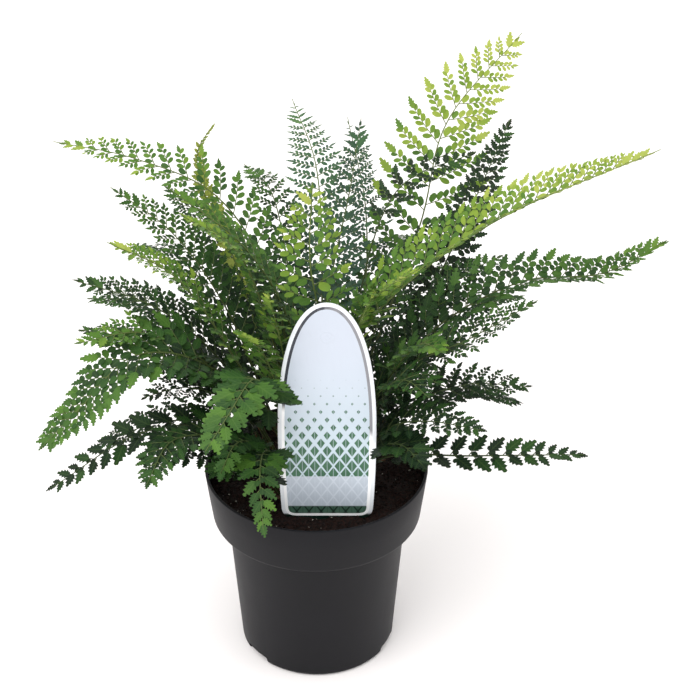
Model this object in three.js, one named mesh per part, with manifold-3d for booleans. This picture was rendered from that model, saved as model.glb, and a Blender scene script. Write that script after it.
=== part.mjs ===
// A shield fern in a dark plastic nursery pot, with its potting soil, rootstock and plant label.
// Millimetres, +Z up. The origin is the middle of the pot's flat underside, and the side where
// the label stands faces -Y.

import * as THREE from 'three';
import { mergeVertices } from 'three/addons/utils/BufferGeometryUtils.js';
import Module from 'manifold-3d';

const wasm = await Module();
wasm.setup();

// Driving dimensions of the pot
const RIM_RADIUS = 60;
const POT_HEIGHT = 112.5;
const BASE_RADIUS = 42.5;
const COLLAR_HEIGHT = 29.5;
const COLLAR_FOOT_RADIUS = 56.4;
const BODY_TOP_RADIUS = 48.4;
const WALL = 1.6;
const FLOOR = 3;
const EDGE_ROUND = 3;
const LIP_ROUND = 0.6;
const DRAIN_NOTCHES = 3;
const DRAIN_FIRST_DEG = 98;
const DRAIN_WIDTH = 17;
const DRAIN_HEIGHT = 4.4;
const DRAIN_REACH = 7;
const POT_SEGMENTS = 40;

// Driving dimensions of the soil and the rootstock
const GAP = 0.3;
const SOIL_LEVEL = 103;
const SOIL_RELIEF = 0.9;
const CROWN_RADIUS = 27;
const CROWN_DEPTH = 12;
const CROWN_RISE = 9;
const CROWN_RELIEF = 0.6;
const CROWN_SEGMENTS = 18;

// Driving dimensions of the plant label
const LABEL_WIDTH = 50.5;
const LABEL_FOOT_WIDTH = 48;
const LABEL_HEIGHT = 126;
const LABEL_THICKNESS = 0.8;
const LABEL_CORNER = 8;
const LABEL_PLACE = new THREE.Vector3(6, -34, 102);
const LABEL_LEAN_DEG = 4;
const LABEL_SHOULDER = 0.42;
const STAKE_WIDTH = 13;
const STAKE_LENGTH = 46;

// Driving dimensions shared by all fronds
const ROOT_LEVEL = 101;
const STALK_HALF = 1.1;
const TIP_HALF = 0.45;
const BLADE_HALF = 0.35;
const STALK_STEPS = 3;
const LAST_PAIR_AT = 0.965;
const CROWDING = 0.25;
const SWEEP_ROOT_DEG = 66;
const SWEEP_TIP_DEG = 48;
const DROOP = 0.1;
const SLIM = 1.1;
const CLEAR_ROOM = 3.6;
const POT_ROOM = 3;

const RINGS = { heart: 2.6, inner: 7, middle: 12, outer: 18, edge: 23.5 };

// Each frond: the ring and bearing of its root on the rootstock, the points that its rib runs
// through, the bare share of the stalk, its pairs of leaflets, the longest leaflet, how far the
// blade is rolled about its rib at its start and at its tip, how far the leaflets are lifted,
// and how the largest leaflets are cut.
const FRONDS = [
  { name: 'frond_01', ring: 'inner', bearing: 62, via: [[56, 75, 218], [70, 98, 268], [111, 125, 309]],
    bare: 0.34, pairs: 13, reach: 39, roll: [-30, -36], lift: 4, cut: 'notched' },
  { name: 'frond_02', ring: 'inner', bearing: 98, via: [[3, 45, 195], [0, 85, 247], [-14, 135, 266]],
    bare: 0.36, pairs: 12, reach: 25, roll: [0, 0], lift: 6, cut: 'lobed' },
  { name: 'frond_03', ring: 'middle', bearing: 80, via: [[24, 45, 175], [27, 90, 217], [17, 150, 248]],
    bare: 0.38, pairs: 12, reach: 19, roll: [0, 0], lift: 8, cut: 'lobed' },
  { name: 'frond_04', ring: 'middle', bearing: 38, via: [[58, 38, 190], [88, 66, 248], [104, 95, 272]],
    bare: 0.42, pairs: 10, reach: 18, roll: [-25, -25], lift: 10, cut: 'lobed' },
  { name: 'frond_05', ring: 'inner', bearing: -12, via: [[22, -13, 200], [80, -22, 266], [162, -30, 313]],
    bare: 0.3, pairs: 14, reach: 30, roll: [-34, -12], lift: 14, cut: 'notched' },
  { name: 'frond_06', ring: 'middle', bearing: 10,
    via: [[53, 10, 182], [105, 16, 216], [150, 21, 219], [181, 25, 236]],
    bare: 0.3, pairs: 12, reach: 25, roll: [-25, -15], lift: 14, cut: 'lobed' },
  { name: 'frond_07', ring: 'outer', bearing: -8, via: [[45, -15, 181], [78, -20, 204], [110, -25, 229]],
    bare: 0.34, pairs: 8, reach: 21, roll: [-15, -15], lift: 14, cut: 'lobed' },
  { name: 'frond_08', ring: 'outer', bearing: -24, via: [[35, -16, 128], [82, -24, 135], [138, -30, 140]],
    bare: 0.3, pairs: 9, reach: 21, roll: [-10, -10], lift: 18, cut: 'lobed' },
  { name: 'frond_09', ring: 'outer', bearing: -40, via: [[37, -22, 150], [56, -38, 166], [83, -55, 172]],
    bare: 0.34, pairs: 6, reach: 18, roll: [-10, -10], lift: 14, cut: 'lobed' },
  { name: 'frond_10', ring: 'middle', bearing: -30, via: [[36, -19, 170], [50, -32, 190], [64, -46, 192]],
    bare: 0.4, pairs: 6, reach: 17, roll: [0, 0], lift: 14, cut: 'lobed' },
  { name: 'frond_11', ring: 'inner', bearing: 150,
    via: [[-23, 15, 216], [-50, 20, 264], [-90, 25, 282], [-131, 30, 289]],
    bare: 0.32, pairs: 13, reach: 27, roll: [25, 12], lift: 16, cut: 'lobed' },
  { name: 'frond_12', ring: 'middle', bearing: 148,
    via: [[-42, 30, 220], [-58, 32, 264], [-59, 32, 283], [-51, 32, 297]],
    bare: 0.5, pairs: 10, reach: 12, roll: [10, 10], lift: 24, cut: 'lobed' },
  { name: 'frond_13', ring: 'middle', bearing: 172, via: [[-45, 5, 205], [-72, 7, 250], [-102, 15, 271]],
    bare: 0.36, pairs: 9, reach: 22, roll: [20, 20], lift: 12, cut: 'lobed' },
  { name: 'frond_14', ring: 'inner', bearing: 192, via: [[-40, -12, 185], [-68, -22, 240], [-97, -45, 272]],
    bare: 0.32, pairs: 9, reach: 23, roll: [15, 15], lift: 12, cut: 'lobed' },
  { name: 'frond_15', ring: 'outer', bearing: 182, via: [[-45, -4, 175], [-80, -7, 214], [-120, -15, 235]],
    bare: 0.32, pairs: 9, reach: 22, roll: [15, 15], lift: 12, cut: 'lobed' },
  { name: 'frond_16', ring: 'middle', bearing: 218,
    via: [[-50, -20, 185], [-88, -43, 208], [-114, -65, 191], [-132, -80, 178]],
    bare: 0.3, pairs: 11, reach: 27, roll: [10, 10], lift: 6, cut: 'notched' },
  { name: 'frond_17', ring: 'middle', bearing: 196, via: [[-50, -14, 180], [-84, -25, 210], [-116, -50, 219]],
    bare: 0.36, pairs: 8, reach: 20, roll: [10, 10], lift: 12, cut: 'lobed' },
  { name: 'frond_18', ring: 'outer', bearing: 210, via: [[-45, -23, 150], [-86, -40, 161], [-133, -60, 140]],
    bare: 0.28, pairs: 10, reach: 24, roll: [10, 10], lift: 6, cut: 'lobed' },
  { name: 'frond_19', ring: 'outer', bearing: 225, via: [[-42, -32, 150], [-70, -58, 168], [-80, -92, 166]],
    bare: 0.3, pairs: 8, reach: 23, roll: [0, 0], lift: 4, cut: 'lobed' },
  { name: 'frond_20', ring: 'outer', bearing: 196, via: [[-40, -14, 158], [-65, -22, 176], [-87, -35, 178]],
    bare: 0.36, pairs: 7, reach: 18, roll: [10, 10], lift: 10, cut: 'lobed' },
  { name: 'frond_21', ring: 'middle', bearing: 240,
    via: [[-26, -28, 170], [-30, -62, 206], [-40, -88, 203], [-50, -105, 194]],
    bare: 0.34, pairs: 9, reach: 25, roll: [0, 0], lift: 4, cut: 'notched' },
  { name: 'frond_22', ring: 'outer', bearing: 256, via: [[-24, -34, 145], [-27, -66, 155], [-25, -89, 136]],
    bare: 0.3, pairs: 7, reach: 17, roll: [0, 0], lift: 4, cut: 'lobed' },
  { name: 'frond_23', ring: 'outer', bearing: 240, via: [[-32, -32, 148], [-40, -52, 161], [-46, -72, 158]],
    bare: 0.34, pairs: 7, reach: 16, roll: [0, 0], lift: 4, cut: 'lobed' },
  { name: 'frond_24', ring: 'inner', bearing: 275, via: [[3, -8, 200], [-2, -23, 249], [0, -50, 306]],
    bare: 0.44, pairs: 9, reach: 23, roll: [0, 0], lift: 6, cut: 'lobed' },
  { name: 'frond_25', ring: 'inner', bearing: 232, via: [[-22, -12, 200], [-36, -22, 252], [-62, -50, 290]],
    bare: 0.36, pairs: 9, reach: 22, roll: [10, 10], lift: 10, cut: 'lobed' },
  { name: 'frond_26', ring: 'middle', bearing: 118, via: [[-14, 40, 205], [-24, 68, 242], [-40, 102, 242]],
    bare: 0.36, pairs: 9, reach: 20, roll: [0, 0], lift: 10, cut: 'lobed' },
  { name: 'frond_27', ring: 'outer', bearing: 20, via: [[48, 14, 175], [73, 25, 212], [98, 36, 221]],
    bare: 0.34, pairs: 9, reach: 19, roll: [-10, -10], lift: 14, cut: 'lobed' },
  { name: 'frond_28', ring: 'inner', bearing: 26, via: [[20, 14, 195], [42, 32, 261], [83, 56, 271]],
    bare: 0.68, pairs: 6, reach: 14, roll: [-20, -20], lift: 10, cut: 'lobed' },
  { name: 'frond_29', ring: 'outer', bearing: 138, via: [[-42, 42, 165], [-75, 75, 198], [-105, 102, 192]],
    bare: 0.3, pairs: 9, reach: 25, roll: [0, 0], lift: 8, cut: 'lobed' },
  { name: 'frond_30', ring: 'outer', bearing: 68, via: [[22, 52, 158], [40, 98, 188], [58, 138, 180]],
    bare: 0.3, pairs: 9, reach: 24, roll: [0, 0], lift: 8, cut: 'lobed' },
  { name: 'frond_31', ring: 'outer', bearing: 38, via: [[50, 36, 155], [85, 60, 178], [116, 82, 170]],
    bare: 0.3, pairs: 8, reach: 23, roll: [0, 0], lift: 8, cut: 'lobed' },
  { name: 'frond_32', ring: 'outer', bearing: 92, via: [[0, 50, 150], [-2, 95, 168], [-5, 135, 148]],
    bare: 0.28, pairs: 9, reach: 24, roll: [0, 0], lift: 8, cut: 'lobed' },
  { name: 'frond_33', ring: 'outer', bearing: 160, via: [[-50, 26, 160], [-90, 45, 186], [-126, 62, 180]],
    bare: 0.3, pairs: 8, reach: 23, roll: [0, 0], lift: 8, cut: 'lobed' },
  { name: 'frond_34', ring: 'outer', bearing: 115, via: [[-24, 52, 162], [-45, 98, 184], [-64, 136, 166]],
    bare: 0.3, pairs: 9, reach: 24, roll: [0, 0], lift: 8, cut: 'lobed' },
  { name: 'frond_35', ring: 'middle', bearing: 262, via: [[-16, -18, 160], [-26, -34, 205], [-36, -58, 232]],
    bare: 0.36, pairs: 8, reach: 20, roll: [0, 0], lift: 8, cut: 'lobed' },
  { name: 'frond_36', ring: 'middle', bearing: -10, via: [[34, -8, 165], [52, -28, 205], [62, -56, 218]],
    bare: 0.36, pairs: 8, reach: 20, roll: [0, 0], lift: 8, cut: 'lobed' },
  { name: 'frond_37', ring: 'heart', bearing: -30, via: [[14, -12, 190], [30, -28, 232], [52, -50, 262]],
    bare: 0.36, pairs: 7, reach: 19, roll: [0, 0], lift: 10, cut: 'ovate' },
  { name: 'frond_38', ring: 'heart', bearing: 180, via: [[-12, 2, 195], [-34, -4, 246], [-70, -14, 285]],
    bare: 0.38, pairs: 8, reach: 20, roll: [10, 10], lift: 10, cut: 'ovate' },
  { name: 'frond_39', ring: 'heart', bearing: 60, via: [[6, 22, 200], [18, 60, 248], [24, 100, 270]],
    bare: 0.38, pairs: 8, reach: 19, roll: [0, 0], lift: 8, cut: 'ovate' },
  { name: 'frond_40', ring: 'edge', bearing: -5, via: [[44, -3, 148], [78, -4, 166], [112, -6, 166]],
    bare: 0.28, pairs: 7, reach: 20, roll: [-10, -10], lift: 12, cut: 'ovate' },
  { name: 'frond_41', ring: 'edge', bearing: 14, via: [[42, 12, 140], [76, 20, 148], [110, 26, 136]],
    bare: 0.28, pairs: 7, reach: 20, roll: [0, 0], lift: 10, cut: 'ovate' },
  { name: 'frond_42', ring: 'edge', bearing: -62, via: [[31, -24, 138], [44, -42, 154], [54, -60, 154]],
    bare: 0.3, pairs: 6, reach: 17, roll: [0, 0], lift: 8, cut: 'ovate' },
  { name: 'frond_43', ring: 'edge', bearing: 190, via: [[-44, -8, 140], [-78, -14, 150], [-114, -22, 140]],
    bare: 0.28, pairs: 7, reach: 21, roll: [0, 0], lift: 10, cut: 'ovate' },
  { name: 'frond_44', ring: 'edge', bearing: 170, via: [[-44, 10, 150], [-80, 16, 166], [-116, 18, 156]],
    bare: 0.28, pairs: 7, reach: 21, roll: [0, 0], lift: 10, cut: 'ovate' },
  { name: 'frond_45', ring: 'edge', bearing: 226, via: [[-30, -34, 134], [-40, -48, 148], [-50, -60, 150]],
    bare: 0.28, pairs: 6, reach: 18, roll: [0, 0], lift: 4, cut: 'ovate' },
  { name: 'frond_46', ring: 'edge', bearing: 205, via: [[-40, -22, 134], [-64, -34, 146], [-88, -46, 146]],
    bare: 0.28, pairs: 7, reach: 20, roll: [0, 0], lift: 6, cut: 'ovate' },
  { name: 'frond_47', ring: 'edge', bearing: 64, via: [[34, 52, 150], [62, 84, 176], [90, 112, 176]],
    bare: 0.3, pairs: 8, reach: 22, roll: [0, 0], lift: 8, cut: 'ovate' },
  { name: 'frond_48', ring: 'middle', bearing: 133, via: [[-28, 34, 180], [-56, 66, 220], [-84, 96, 232]],
    bare: 0.34, pairs: 8, reach: 21, roll: [0, 0], lift: 8, cut: 'ovate' },
  { name: 'frond_49', ring: 'outer', bearing: 50, via: [[30, 22, 180], [56, 36, 226], [88, 46, 246]],
    bare: 0.36, pairs: 8, reach: 19, roll: [-10, -10], lift: 10, cut: 'ovate' },
  { name: 'frond_50', ring: 'outer', bearing: -56, via: [[28, -20, 165], [44, -40, 192], [56, -66, 198]],
    bare: 0.36, pairs: 6, reach: 17, roll: [0, 0], lift: 8, cut: 'ovate' },
  { name: 'frond_51', ring: 'edge', bearing: -80, via: [[6, -20, 150], [16, -20, 195], [30, -30, 238]],
    bare: 0.4, pairs: 6, reach: 17, roll: [0, 0], lift: 8, cut: 'ovate' },
  { name: 'frond_52', ring: 'edge', bearing: 262, via: [[-10, -18, 150], [-16, -20, 195], [-22, -40, 242]],
    bare: 0.4, pairs: 6, reach: 17, roll: [0, 0], lift: 8, cut: 'ovate' },
  { name: 'frond_53', ring: 'edge', bearing: 178, via: [[-46, 2, 158], [-84, 4, 186], [-122, 2, 196]],
    bare: 0.28, pairs: 8, reach: 21, roll: [0, 0], lift: 10, cut: 'ovate' },
  { name: 'frond_54', ring: 'edge', bearing: 150, via: [[-38, 24, 140], [-68, 42, 150], [-98, 56, 138]],
    bare: 0.28, pairs: 7, reach: 22, roll: [0, 0], lift: 8, cut: 'ovate' },
  { name: 'frond_55', ring: 'edge', bearing: 50, via: [[32, 36, 142], [58, 62, 150], [84, 86, 136]],
    bare: 0.28, pairs: 7, reach: 22, roll: [0, 0], lift: 8, cut: 'ovate' },
  { name: 'frond_56', ring: 'edge', bearing: 104, via: [[-10, 44, 140], [-20, 80, 150], [-30, 112, 136]],
    bare: 0.28, pairs: 7, reach: 22, roll: [0, 0], lift: 8, cut: 'ovate' },
];

const radians = THREE.MathUtils.degToRad;
const { lerp } = THREE.MathUtils;

// Closed triangle meshes and solids

function signedVolume(positions, index) {
  let total = 0;
  const a = new THREE.Vector3();
  const b = new THREE.Vector3();
  const c = new THREE.Vector3();
  for (let i = 0; i < index.length; i += 3) {
    a.fromArray(positions, index[i] * 3);
    b.fromArray(positions, index[i + 1] * 3);
    c.fromArray(positions, index[i + 2] * 3);
    total += a.dot(b.cross(c)) / 6;
  }
  return total;
}

// A geometry with shared corners, no collapsed triangles and its faces pointing out.
function closedGeometry(source) {
  const bare = source.clone();
  bare.deleteAttribute('normal');
  bare.deleteAttribute('uv');
  const merged = mergeVertices(bare, 1e-4);
  const positions = merged.getAttribute('position').array;
  const kept = [];
  const all = merged.getIndex().array;
  for (let i = 0; i < all.length; i += 3) {
    const [p, q, r] = [all[i], all[i + 1], all[i + 2]];
    if (p !== q && q !== r && r !== p) kept.push(p, q, r);
  }
  if (signedVolume(positions, kept) < 0) {
    for (let i = 0; i < kept.length; i += 3) {
      [kept[i + 1], kept[i + 2]] = [kept[i + 2], kept[i + 1]];
    }
  }
  const closed = new THREE.BufferGeometry();
  closed.setAttribute('position', new THREE.Float32BufferAttribute(positions, 3));
  closed.setIndex(kept);
  closed.computeVertexNormals();
  return closed;
}

function solidFrom(geometry) {
  const closed = closedGeometry(geometry);
  return new wasm.Manifold(new wasm.Mesh({
    numProp: 3,
    vertProperties: new Float32Array(closed.getAttribute('position').array),
    triVerts: new Uint32Array(closed.getIndex().array),
  }));
}

function geometryFrom(solid) {
  const mesh = solid.getMesh();
  const geometry = new THREE.BufferGeometry();
  geometry.setAttribute('position', new THREE.Float32BufferAttribute(mesh.vertProperties, 3));
  geometry.setIndex(new THREE.Uint32BufferAttribute(mesh.triVerts, 1));
  geometry.computeVertexNormals();
  return geometry;
}

function cutAll(solid, cutters) {
  return cutters.reduce((left, cutter) => left.subtract(solidFrom(cutter)), solid);
}

// A turned shape: points are radius and height, and the axis ends up along Z.
function turned(profile, segments) {
  const points = profile.map(([radius, height]) => new THREE.Vector2(radius, height));
  return new THREE.LatheGeometry(points, segments).rotateX(Math.PI / 2);
}

// Pot

const COLLAR_FOOT = POT_HEIGHT - COLLAR_HEIGHT;
const LEDGE = COLLAR_FOOT + WALL;

function bodyRadius(height) {
  return lerp(BASE_RADIUS, BODY_TOP_RADIUS, height / COLLAR_FOOT);
}

function collarRadius(height) {
  return lerp(COLLAR_FOOT_RADIUS, RIM_RADIUS, (height - COLLAR_FOOT) / COLLAR_HEIGHT);
}

function potGeometry() {
  const edge = [0, 0.4, 1].map((t) => [
    BASE_RADIUS - EDGE_ROUND * (1 - Math.sin(t * Math.PI / 2)),
    EDGE_ROUND * (1 - Math.cos(t * Math.PI / 2)),
  ]);
  const shell = turned([
    [0, 0],
    ...edge,
    [BODY_TOP_RADIUS, COLLAR_FOOT],
    [COLLAR_FOOT_RADIUS - EDGE_ROUND / 2, COLLAR_FOOT],
    [COLLAR_FOOT_RADIUS, COLLAR_FOOT + EDGE_ROUND / 2],
    [RIM_RADIUS, POT_HEIGHT - LIP_ROUND],
    [RIM_RADIUS - LIP_ROUND, POT_HEIGHT],
    [RIM_RADIUS - WALL, POT_HEIGHT - LIP_ROUND / 2],
    [COLLAR_FOOT_RADIUS - WALL, LEDGE + EDGE_ROUND / 2],
    [COLLAR_FOOT_RADIUS - WALL - EDGE_ROUND / 2, LEDGE],
    [BODY_TOP_RADIUS - WALL, LEDGE],
    [BASE_RADIUS - WALL, FLOOR],
    [0, FLOOR],
  ], POT_SEGMENTS);
  const notches = Array.from({ length: DRAIN_NOTCHES }, (_, i) => {
    const box = new THREE.BoxGeometry(DRAIN_REACH * 2, DRAIN_WIDTH, DRAIN_HEIGHT * 2);
    return box.translate(BASE_RADIUS, 0, 0)
      .rotateZ(radians(DRAIN_FIRST_DEG) + i * 2 * Math.PI / DRAIN_NOTCHES);
  });
  return geometryFrom(cutAll(solidFrom(shell), notches));
}

// Soil: fills the pot to 9.5 mm below the rim, with a plain recess for the rootstock and a plain
// slot for the label's stake.

function soilRelief(x, y) {
  return SOIL_RELIEF * Math.sin(x * 0.23 + 1.1) * Math.cos(y * 0.27 - 0.4);
}

function soilGeometry() {
  const wallRadius = (height) => collarRadius(height) - WALL - GAP;
  const surface = [0.98, 0.8, 0.64].map((share) => [wallRadius(SOIL_LEVEL) * share, SOIL_LEVEL]);
  const soil = turned([
    [0, FLOOR + GAP],
    [bodyRadius(FLOOR) - WALL - GAP - 0.1, FLOOR + GAP],
    [BODY_TOP_RADIUS - WALL - GAP - 0.1, LEDGE + GAP],
    [COLLAR_FOOT_RADIUS - WALL - EDGE_ROUND / 2 - GAP, LEDGE + GAP],
    [COLLAR_FOOT_RADIUS - WALL - GAP - 0.1, LEDGE + EDGE_ROUND / 2 + GAP],
    [wallRadius(SOIL_LEVEL) - 0.1, SOIL_LEVEL - 1],
    ...surface,
    [CROWN_RADIUS + GAP, SOIL_LEVEL],
    [CROWN_RADIUS + GAP, SOIL_LEVEL - CROWN_DEPTH],
    [0, SOIL_LEVEL - CROWN_DEPTH],
  ], POT_SEGMENTS);
  const place = soil.getAttribute('position');
  for (let i = 0; i < place.count; i += 1) {
    if (place.getZ(i) > SOIL_LEVEL - 0.5) {
      place.setZ(i, SOIL_LEVEL + soilRelief(place.getX(i), place.getY(i)));
    }
  }
  const slot = labelGeometry(LABEL_THICKNESS + 2 * GAP, GAP);
  return geometryFrom(cutAll(solidFrom(soil), [slot]));
}

// Rootstock: the scaly crown that the fronds grow from, with a plain hole for each stalk.

function crownGeometry(fronds) {
  const foot = SOIL_LEVEL - CROWN_DEPTH + GAP;
  const rings = [1, 0.8, 0.52, 0.24].map((share) => [
    CROWN_RADIUS * share, SOIL_LEVEL + 1 + CROWN_RISE * (1 - share * share),
  ]);
  const crown = turned(
    [[0, foot], [CROWN_RADIUS, foot], ...rings, [0, SOIL_LEVEL + 1 + CROWN_RISE]],
    CROWN_SEGMENTS,
  );
  const place = crown.getAttribute('position');
  for (let i = 0; i < place.count; i += 1) {
    const [x, y, z] = [place.getX(i), place.getY(i), place.getZ(i)];
    if (z > SOIL_LEVEL + 1.5) {
      place.setZ(i, z + CROWN_RELIEF * Math.sin(x * 0.9) * Math.sin(y * 0.9 + 0.6));
    }
  }
  return geometryFrom(cutAll(solidFrom(crown), fronds.map(sleeveGeometry)));
}

// Plant label: a flat plastic plate with a round head, narrowing below to a stake in the soil.

function labelGeometry(thickness, grow) {
  const half = LABEL_WIDTH / 2 + grow;
  const foot = LABEL_FOOT_WIDTH / 2 + grow;
  const stake = STAKE_WIDTH / 2 + grow;
  const shoulder = LABEL_HEIGHT * LABEL_SHOULDER;
  const top = LABEL_HEIGHT + grow;
  const outline = new THREE.Shape();
  outline.moveTo(stake, -grow);
  outline.lineTo(foot - LABEL_CORNER, -grow);
  outline.quadraticCurveTo(foot, -grow, foot, LABEL_CORNER);
  outline.quadraticCurveTo(half, shoulder * 0.5, half, shoulder);
  outline.bezierCurveTo(half, top * 0.78, half * 0.62, top, 0, top);
  outline.bezierCurveTo(-half * 0.62, top, -half, top * 0.78, -half, shoulder);
  outline.quadraticCurveTo(-half, shoulder * 0.5, -foot, LABEL_CORNER);
  outline.quadraticCurveTo(-foot, -grow, LABEL_CORNER - foot, -grow);
  outline.lineTo(-stake, -grow);
  outline.lineTo(-stake * 0.7, -STAKE_LENGTH * 0.75);
  outline.lineTo(0, -STAKE_LENGTH - grow);
  outline.lineTo(stake * 0.7, -STAKE_LENGTH * 0.75);
  outline.closePath();
  return new THREE.ExtrudeGeometry(outline, { depth: thickness, bevelEnabled: false, curveSegments: 6 })
    .translate(0, 0, -thickness / 2)
    .rotateX(Math.PI / 2)
    .rotateX(-radians(LABEL_LEAN_DEG))
    .translate(LABEL_PLACE.x, LABEL_PLACE.y, LABEL_PLACE.z);
}

// Frond ribs

function rootOf(frond) {
  const radius = RINGS[frond.ring];
  const bearing = radians(frond.bearing);
  return new THREE.Vector3(radius * Math.cos(bearing), radius * Math.sin(bearing), ROOT_LEVEL);
}

// The rib with, at each share of its length, its place, its direction, the sideways direction
// of the blade and the direction that its upper face looks in.
function ribOf(frond) {
  const route = [rootOf(frond), ...frond.via.map((point) => new THREE.Vector3(...point))];
  const curve = new THREE.CatmullRomCurve3(route);
  const heading = route.at(-1).clone().sub(route[0]).setZ(0).normalize();
  const level = heading.cross(new THREE.Vector3(0, 0, 1)).normalize();
  return (share) => {
    const roll = radians(lerp(...frond.roll, Math.max(0, share - frond.bare) / (1 - frond.bare)));
    const along = curve.getTangentAt(share);
    const side = level.clone().addScaledVector(along, -level.dot(along)).normalize();
    const face = side.clone().cross(along);
    return {
      place: curve.getPointAt(share),
      along,
      side: side.clone().multiplyScalar(Math.cos(roll)).addScaledVector(face, Math.sin(roll)),
      face: face.clone().multiplyScalar(Math.cos(roll)).addScaledVector(side, -Math.sin(roll)),
      half: lerp(STALK_HALF, TIP_HALF, share),
      share,
    };
  };
}

// Where a share of the blade lies on the rib: leaflets stand closer towards the tip.
function stationShare(frond, step) {
  const t = step / frond.pairs;
  return lerp(frond.bare, LAST_PAIR_AT, t * (1 + CROWDING * (1 - t)));
}

function sectionCorners({ place, side, face, half }, grow = 0) {
  const size = half + grow;
  return [[1, 1], [1, -1], [-1, -1], [-1, 1]].map(([s, f]) => place.clone()
    .addScaledVector(side, s * size)
    .addScaledVector(face, f * size));
}

// The hole that a stalk stands in: the stalk's first two straight runs, a little wider.
function sleeveGeometry(frond) {
  const steps = [0, 1, 2].map((step) => frond.rib(frond.bare * step / STALK_STEPS));
  const corners = steps.flatMap((step) => sectionCorners(step, GAP));
  for (let i = 0; i < 4; i += 1) corners[i].addScaledVector(steps[0].along, -GAP);
  const triangles = [0, 2, 1, 0, 3, 2];
  const last = corners.length - 4;
  triangles.push(last, last + 1, last + 2, last, last + 2, last + 3);
  for (let row = 0; row < last; row += 4) {
    for (let i = 0; i < 4; i += 1) {
      const [p, q] = [row + i, row + (i + 1) % 4];
      triangles.push(p, q, q + 4, p, q + 4, p + 4);
    }
  }
  const sleeve = new THREE.BufferGeometry();
  sleeve.setAttribute('position', new THREE.Float32BufferAttribute(corners.flatMap((v) => v.toArray()), 3));
  sleeve.setIndex(triangles);
  return sleeve;
}

// Leaflets

// How long the leaflets are along the blade, as a share of the longest: the lowest are a little
// shorter, and from the longest on they taper to the tip.
const LOWEST_SHARE = 0.72;
const LONGEST_AT = 0.22;
const TAPER_FROM = 0.12;
const TAPER_POWER = 1.25;
const LEAST_SHARE = 0.16;

function lengthShare(t) {
  const swell = lerp(LOWEST_SHARE, 1, Math.min(1, t / LONGEST_AT));
  const taper = 1 - Math.max(0, (t - TAPER_FROM) / (1 - TAPER_FROM)) ** TAPER_POWER;
  return swell * Math.max(LEAST_SHARE, taper);
}

// The frame of one leaflet, hinged on the rib between two stations.
function leafletFrame(frond, step, hand, lift, length) {
  const here = frond.stations[step];
  const next = frond.stations[step + 1];
  const rootLow = here.place.clone().addScaledVector(here.side, hand * here.half);
  const rootHigh = next.place.clone().addScaledVector(next.side, hand * next.half);
  const sweep = radians(lerp(SWEEP_ROOT_DEG, SWEEP_TIP_DEG, step / frond.pairs));
  const out = here.side.clone().multiplyScalar(hand * Math.cos(lift))
    .addScaledVector(here.face, Math.sin(lift));
  const run = here.along.clone().multiplyScalar(Math.cos(sweep)).addScaledVector(out, Math.sin(sweep));
  const chord = rootHigh.clone().sub(rootLow);
  const across = chord.clone().addScaledVector(run, -chord.dot(run));
  const spread = across.length();
  across.normalize();
  const normal = run.clone().cross(across).multiplyScalar(hand).normalize();
  if (normal.dot(here.face) < 0) normal.negate();
  return {
    root: rootLow.add(rootHigh).multiplyScalar(0.5), run, across, normal, spread, length,
  };
}

function leafletPoint(frame, along, across) {
  const share = along / frame.length;
  return frame.root.clone()
    .addScaledVector(frame.run, along)
    .addScaledVector(frame.across, across)
    .addScaledVector(frame.normal, -DROOP * frame.length * share * share);
}

// The points of a leaflet's edge on its lower and upper side, each as its share of the length
// and of the width: the neck cut in to the rib, the widest lobe and the notch behind it.
const EDGE = {
  neck: { low: [0.1, -0.13], high: [0.16, 0.16] },
  lobe: { low: [0.28, -0.44], high: [0.37, 0.46] },
  notch: { low: [0.44, -0.2], high: [0.54, 0.2] },
};
const CUTS = { plain: [], ovate: ['lobe'], lobed: ['neck', 'lobe'], notched: ['neck', 'lobe', 'notch'] };
const POINT_BEND = 0.05;

// The outline beyond the rib, from the lower root over the point to the upper root.
function leafletOutline(frame, cut) {
  const low = CUTS[cut].map((step) => EDGE[step].low);
  const high = CUTS[cut].map((step) => EDGE[step].high).reverse();
  const corner = ([along, across]) => leafletPoint(frame, along * frame.length, across * frame.spread);
  const point = leafletPoint(frame, frame.length, POINT_BEND * frame.length);
  return [...low.map(corner), point, ...high.map(corner)];
}

// Triangles of the outline ring (lower root, outline, upper root): a strip from side to side
// that ends in the point.
function leafletTriangles(corners) {
  const triangles = [];
  let low = 0;
  let high = corners - 1;
  while (high - low > 2) {
    triangles.push([low, low + 1, high], [low + 1, high - 1, high]);
    low += 1;
    high -= 1;
  }
  triangles.push([low, low + 1, high]);
  return triangles;
}

// Room for leaflets: points of what already stands, kept by cubes of space

const ROOM_CELL = 4;
const standing = new Map();

function cellKey(x, y, z) {
  return `${Math.floor(x / ROOM_CELL)},${Math.floor(y / ROOM_CELL)},${Math.floor(z / ROOM_CELL)}`;
}

function stand(point, owner) {
  const key = cellKey(point.x, point.y, point.z);
  if (!standing.has(key)) standing.set(key, []);
  standing.get(key).push({ point, owner });
}

function hasNeighbour(point, owner) {
  for (let dx = -1; dx <= 1; dx += 1) {
    for (let dy = -1; dy <= 1; dy += 1) {
      for (let dz = -1; dz <= 1; dz += 1) {
        const key = cellKey(point.x + dx * ROOM_CELL, point.y + dy * ROOM_CELL, point.z + dz * ROOM_CELL);
        const near = standing.get(key) ?? [];
        if (near.some((other) => other.owner !== owner
          && other.point.distanceTo(point) < CLEAR_ROOM)) return true;
      }
    }
  }
  return false;
}

const labelLean = radians(LABEL_LEAN_DEG);

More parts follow.
